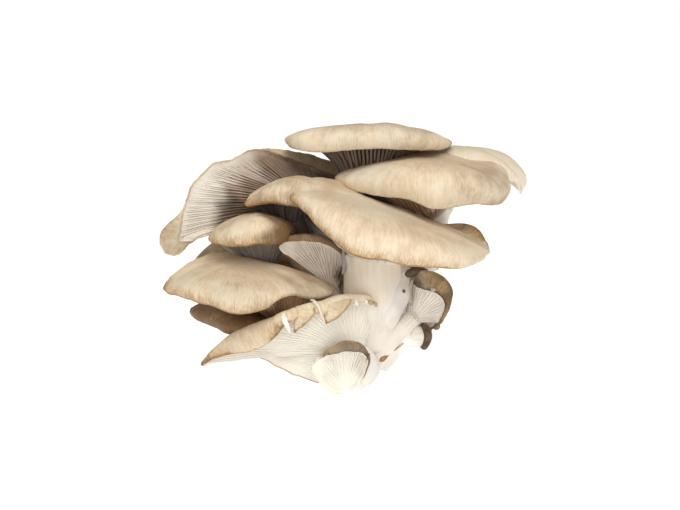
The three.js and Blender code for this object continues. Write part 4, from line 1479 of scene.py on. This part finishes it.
@dataclass(frozen=True)
class FusedBase:
    """The lump that the stems grow from, cut flat below, with one swollen stem that has no cap."""

    name: str = "fused_base"
    pivot: Point = (-2, 20)
    outline: tuple[Point, ...] = (
        (-2, -12), (7, -9), (12, 2), (16, 20), (20, 38), (12, 54), (-6, 58), (-24, 50),
        (-28, 36), (-22, 18), (-12, 6),
    )
    levels: tuple[Point, ...] = (
        (-14, 1, 0, 0), (0, 1, 0, 0), (8, 0.98, 2, -3), (18, 0.82, 6, -9), (28, 0.6, 9, -13),
        (38, 0.38, 12, -16),
    )
    dome: float = 3.0
    rows: int = 46
    spacing: float = 1.6
    grain_radius: float = 16.0
    seed: int = 501
    stem_seed: int = 528
    bare_stem: tuple[Point, ...] = (
        (29, -11, 63, 6.5), (26, -15, 53, 8.5), (22, -16, 44, 8.5), (16, -8, 34, 9),
    )
    patches: tuple[Patch, ...] = tones(
        # Painted shade on the swollen stem.
        shade=((26, -18, 54, 17, 0.2),),
        ochre=((22, -16, 36, 9, 0.35),),
        # Painted light on the lower flesh.
        pale=((14, -20, 14, 30, 1.0), (24, -22, 28, 15, 1.0)),
    )

    def _lump(self) -> tuple[Array, Array, Array]:
        """The lump's rings, from below the cut to its top, with a pole at each end."""
        loop = even_loop(np.array([(*p, 0.0) for p in self.outline], dtype=float), self.spacing)[:, :2]
        levels = np.array([(level[0], level[1], level[2], level[3]) for level in self.levels], dtype=float)
        at = np.linspace(0, len(levels) - 1, self.rows)
        smooth = np.stack([np.interp(at, np.arange(len(levels)), levels[:, k]) for k in range(4)], axis=1)
        pivot = np.array(self.pivot)

        def place(flat: Array, level: Array) -> Array:
            """Points of the outline, or its pivot, at one level."""
            moved = pivot + (flat - pivot) * level[1] + level[2:4]
            up = FLOOR_UP + math.tan(LEAN) * moved[:, 1:2] + level[0]
            return np.concatenate([moved, up], axis=1)

        grid = np.stack([place(loop, level) for level in smooth])
        bottom = place(pivot[None], levels[0])[0]
        top = place(pivot[None], levels[-1] + np.array([self.dome, 0, 0, 0]))[0]
        return bottom, lumpy(grid, grid.mean(axis=1, keepdims=True), BASE_LUMPS, self.seed), top

    def build(self, finishes: Finishes) -> None:
        """Makes the base and fixes it to the frame."""
        shell = Shell()
        bottom, rings, top = self._lump()
        path = np.concatenate([rings.mean(axis=1), np.full((len(rings), 1), self.grain_radius)], axis=1)
        add_tube(shell, bottom, rings, top, path, self.patches, 0)
        add_stem(shell, self.bare_stem, 0.0, self.patches, self.stem_seed, 0)
        piece = shell.piece(self.name + "_flesh", (finishes.stem,))
        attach(piece, "root")
        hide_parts(self.name)
        log.info("%s: %d faces", self.name, len(piece.data.polygons))


# ---- Small torn and budding parts ----------------------------------------------------------------


@dataclass(frozen=True)
class Scraps:
    """Torn flaps, curled strips, warts and threads of one kind, as one piece.

    Each path's points are across, depth, up, half width and half thickness.
    """

    name: str
    paths: tuple[tuple[Point, ...], ...]
    skin: Skin | None = None
    side: Point = (1.0, 0.0, 0.3)
    patches: tuple[Patch, ...] = ()
    rows: int = 26
    around: int = 20
    seed: int = 640

    def build(self, finishes: Finishes) -> None:
        """Makes the piece and fixes it to the frame."""
        shell = Shell()
        for path in self.paths:
            rings, line = tube_rings(path, self.rows, self.around, self.side)
            rings = lumpy(rings, line[:, None, :3], SCRAP_LUMPS, self.seed)
            angle = ring_angles(self.around)
            inland = line[:, 3:4] * (1.0 - np.abs(np.cos(angle)))
            along = np.broadcast_to(run_length(line)[:, None], inland.shape)
            grain = np.stack([along, np.broadcast_to(angle, inland.shape), inland], axis=-1) * MM
            first, last = line[0, :3], line[-1, :3]
            marks = tube_marks(with_poles(first, rings, last), grain, self.patches)
            shell.add(first, rings, last, marks, lambda ring: 0)
        piece = shell.piece(self.name, (finishes.skins[self.skin] if self.skin else finishes.stem,))
        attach(piece, "root")
        log.info("%s: %d faces", self.name, len(piece.data.polygons))


SCRAPS = (
    Scraps(
        name="front_mushroom_torn_flaps", skin=Skin.TAN, side=(1.0, 0.0, 0.2),
        paths=(
            ((-17.6, -44.0, 45.0, 5.0, 0.4), (-18.6, -46.2, 42.4, 5.6, 0.5), (-20.0, -46.6, 39.4, 4.2, 0.5),
             (-21.6, -45.4, 36.0, 2.2, 0.4), (-22.9, -43.6, 32.8, 0.4, 0.3)),
            ((-2.4, -39.0, 47.9, 7.2, 0.4), (-3.2, -42.2, 46.5, 7.8, 0.5), (-4.9, -43.8, 43.4, 6.4, 0.5),
             (-6.6, -43.4, 40.0, 3.5, 0.4), (-7.9, -42.2, 37.0, 0.4, 0.3)),
        ),
        patches=tones(
            ochre=((-20, -45, 38, 12, 0.3), (-5, -43, 42, 12, 0.3)),
            brown=(
                (-22.8, -43.6, 33.0, 2.2, 0.8), (-17.8, -46, 36.6, 2.2, 0.5), (-7.9, -42.2, 37.2, 2.0, 0.7),
                (-1.2, -43.6, 41.0, 2.2, 0.4),
            ),
        ),
    ),
    Scraps(
        name="front_mushroom_torn_flesh", side=(1.0, 0.0, -0.2),
        paths=(
            ((-28.4, -45.8, 42, 0.5, 0.3), (-27.8, -47.2, 39.6, 1.3, 0.4), (-26.6, -46.8, 36.4, 1.2, 0.4),
             (-25.0, -44.4, 32.6, 0.4, 0.3)),
            ((-15.2, -42, 48.4, 0.3, 0.4), (-13.4, -45.6, 47.8, 0.5, 0.6), (-11.6, -46, 45.4, 0.55, 0.6),
             (-10.4, -45, 42.4, 0.55, 0.6), (-9.2, -43.6, 39.4, 0.5, 0.5), (-7.8, -41.4, 36.8, 0.4, 0.3)),
            ((6.2, -38.4, 48.2, 0.6, 0.5), (6.9, -39.2, 46.9, 1.0, 0.8), (7.5, -38.4, 45.7, 0.5, 0.4)),
            ((11.2, -34, 48.3, 0.5, 0.4), (11.8, -34.4, 47.3, 0.9, 0.7), (12.4, -33.6, 46.2, 0.4, 0.3)),
        ),
        patches=tones(pale=((-20, -44, 40, 40, 0.3),), ochre=((-12, -44, 44, 10, 0.6),)),
    ),
    Scraps(
        name="front_mushroom_torn_crumbs", skin=Skin.TAN,
        paths=(
            ((12.8, -33, 47.6, 0.5, 0.5), (13.8, -33.2, 46.9, 1.0, 0.9), (14.8, -32.6, 46.2, 0.6, 0.5)),
            ((15.4, -31.6, 47.2, 0.4, 0.4), (16.2, -31, 46.0, 0.9, 0.7), (16.9, -30.2, 44.8, 0.4, 0.3)),
        ),
        patches=tones(brown=((14.5, -32, 46.5, 9, 0.35),)),
    ),
    Scraps(
        name="right_small_mushroom_curl", skin=Skin.DARK, side=(0.3, 0.0, 1.0),
        paths=(
            ((42, -17.5, 62.6, 0.6, 0.6), (38.5, -19, 62.8, 1.5, 1.1), (35, -19.8, 61.8, 2.2, 1.2),
             (32.6, -19.6, 60.6, 1.8, 1.1), (31.2, -19.0, 60.0, 0.7, 0.6)),
        ),
        patches=tones(brown=((34, -20, 61, 14, 0.85),)),
    ),
    Scraps(
        name="right_small_mushroom_edge", skin=Skin.DARK,
        paths=(
            ((35.6, -17.6, 59.2, 0.5, 0.4), (34.1, -18.4, 56.4, 1.0, 0.5), (33.2, -18.4, 52.6, 1.2, 0.5),
             (33.2, -17.8, 48.8, 1.0, 0.5), (34.2, -16.4, 45, 0.4, 0.3)),
            ((43.6, -22.2, 53.3, 0.6, 0.5), (44.7, -22.6, 53, 1.3, 1.0), (45.8, -22, 52.7, 0.6, 0.5)),
            ((44.3, -7.6, 32.2, 0.3, 0.3), (45.0, -8.2, 33.6, 0.4, 0.4), (46.2, -8.6, 34.0, 1.4, 1.1),
             (47.4, -8.6, 34.6, 1.8, 1.5), (48.4, -8.2, 35.0, 0.9, 0.9)),
        ),
        patches=tones(pale=((34, -19, 52, 9, 0.3), (44.7, -22.6, 53, 2, 0.4))),
    ),
    Scraps(
        name="bottom_small_mushroom_curl", skin=Skin.DARK,
        paths=(
            ((13.2, -34.4, 22.2, 0.5, 0.5), (12.2, -34.6, 19.4, 0.6, 0.6), (10.2, -33.8, 16.4, 0.9, 0.6),
             (9.0, -32.4, 14.2, 0.5, 0.4)),
        ),
        patches=tones(pale=((10.2, -34, 16, 5, 0.7),)),
    ),
    Scraps(
        name="fused_base_bud", skin=Skin.TAN, side=(0.7, 0.0, -0.7),
        paths=(
            ((19.0, -12.8, 17.4, 0.6, 0.7), (20.2, -13.6, 18.6, 1.3, 1.3), (21.6, -13.4, 19.6, 0.9, 0.9),
             (23.2, -13.2, 20.6, 0.25, 0.25), (26.6, -13.6, 23.4, 0.22, 0.22),
             (30.4, -13.2, 26.4, 0.2, 0.2)),
        ),
        patches=tones(ochre=((20, -13, 18, 30, 1.0),)),
    ),
    Scraps(
        name="fused_base_speck", skin=Skin.DARK,
        paths=(
            ((29.2, -21.4, 52.4, 0.4, 0.4), (30.0, -22.4, 52.3, 1.1, 1.0), (30.8, -21.6, 52.2, 0.4, 0.4)),
        ),
        patches=tones(brown=((30, -22, 52.3, 4, 0.4),)),
    ),
    Scraps(
        name="centre_mushroom_fold",
        paths=(
            ((0.6, -22.8, 73, 0.6, 0.6), (1.0, -24.2, 69.5, 1.0, 1.0), (1.2, -24.4, 65, 1.2, 1.1),
             (0.3, -23.6, 60.6, 0.5, 0.5)),
        ),
        # Painted shade on the fold.
        patches=tones(shade=((1, -25, 66, 12, 0.65),)),
    ),
)


# ---- Studio --------------------------------------------------------------------------------------


@dataclass(frozen=True)
class Studio:
    """A plain pale floor, soft lights and the camera."""

    floor_side: float = 30.0
    distance: float = 1200.0
    aim_across: float = -1.0
    aim_up: float = 70.0
    sensor: float = 36.0
    lens: float = 36.0 * 1200.0 / 340.0
    middle: Point = (0.0, 0.0, 0.06)

    def _floor(self) -> None:
        """Lays the floor."""
        half = self.floor_side / 2
        mesh = bpy.data.meshes.new("floor")
        corners = [(-half, -half, 0), (half, -half, 0), (half, half, 0), (-half, half, 0)]
        mesh.from_pydata(corners, [], [(0, 1, 2, 3)])
        material, g = new_material("white_paper")
        shader = g.node("ShaderNodeBsdfPrincipled", {}, {
            "Base Color": (0.5, 0.5, 0.5), "Roughness": 0.9,
            "Emission Color": (1.0, 1.0, 1.0), "Emission Strength": 0.8,
        })
        g.node("ShaderNodeOutputMaterial", {}, {"Surface": g.out(shader)})
        finished(mesh, "floor", (material,))

    def _light(self, name: str, place: Point, side: float, power: float, colour: Colour) -> None:
        """Hangs one square soft light that points at the middle of the cluster.

        Args:
            name: Its name.
            place: Where it hangs, in metres.
            side: Length of its side, in metres.
            power: In watts.
            colour: Its colour.
        """
        lamp = bpy.data.lights.new(name, "AREA")
        lamp.size, lamp.energy, lamp.color = side, power, colour
        holder = bpy.data.objects.new(name, lamp)
        way = unit(np.array(self.middle) - np.array(place))
        across = unit(np.cross(way, np.array([0.0, 0.0, 1.0])))
        turn = Matrix([list(across), list(np.cross(across, way)), list(-way)]).transposed()
        holder.matrix_world = Matrix.Translation(place) @ turn.to_4x4()
        bpy.context.scene.collection.objects.link(holder)

    def build(self) -> None:
        """Sets the whole studio."""
        self._floor()
        scene = bpy.context.scene
        world = bpy.data.worlds.new("white_room")
        world.use_nodes = True
        g = Graph(world.node_tree)
        sky = g.node("ShaderNodeBackground", {}, {"Color": (1.0, 0.985, 0.96), "Strength": 0.34})
        g.node("ShaderNodeOutputWorld", {}, {"Surface": g.out(sky)})
        scene.world = world
        scene.view_settings.view_transform = "Standard"
        self._light("front_softbox", (0.3, -1.0, 1.1), side=0.95, power=7.6, colour=(1.0, 0.985, 0.955))
        self._light("left_softbox", (-0.55, -1.3, 0.4), side=0.9, power=4.3, colour=(1.0, 0.98, 0.95))
        self._light("top_softbox", (0.1, -0.35, 1.3), side=0.9, power=4.2, colour=(1.0, 0.99, 0.97))
        place = np.array([self.aim_across, -self.distance, self.aim_up])
        camera = bpy.data.cameras.new("camera")
        camera.lens, camera.sensor_width = self.lens, self.sensor
        camera.clip_start, camera.clip_end = 0.05, 60.0
        holder = bpy.data.objects.new("camera", camera)
        holder.location = to_frame(place[None])[0]
        holder.rotation_euler = (math.radians(90) - LEAN, 0.0, 0.0)
        scene.collection.objects.link(holder)
        scene.camera = holder


# ---- Assembly ------------------------------------------------------------------------------------


def main() -> None:
    """Builds the cluster in its studio."""
    logging.basicConfig(level=logging.INFO, format="%(name)s: %(message)s")
    finishes = Finishes(
        skins={
            Skin.TAN: CapSkin("tan_skin").build(),
            Skin.PALE: CapSkin(
                "pale_skin", cream=(0.88, 0.79, 0.63), tan=(0.80, 0.66, 0.47), crown=(0.80, 0.68, 0.50),
                margin_strength=0.15, mottle=0.4,
            ).build(),
            Skin.DARK: CapSkin(
                "dark_skin", cream=(0.40, 0.26, 0.125), tan=(0.14, 0.078, 0.03), crown=(0.13, 0.076, 0.032),
                brown=(0.035, 0.02, 0.01), ochre=(0.26, 0.155, 0.055), margin=(0.08, 0.045, 0.016),
                mottle=0.85, roughness=0.6,
            ).build(),
        },
        gills=GillFlesh("gill_flesh").build(),
        stem=StemFlesh("stem_flesh").build(),
    )
    Studio().build()
    FusedBase().build(finishes)
    blades = Blades(gill_tree())
    for mushroom in MUSHROOMS:
        mushroom.build(finishes, blades)
    for scraps in SCRAPS:
        scraps.build(finishes)


if __name__ == "__main__":
    main()
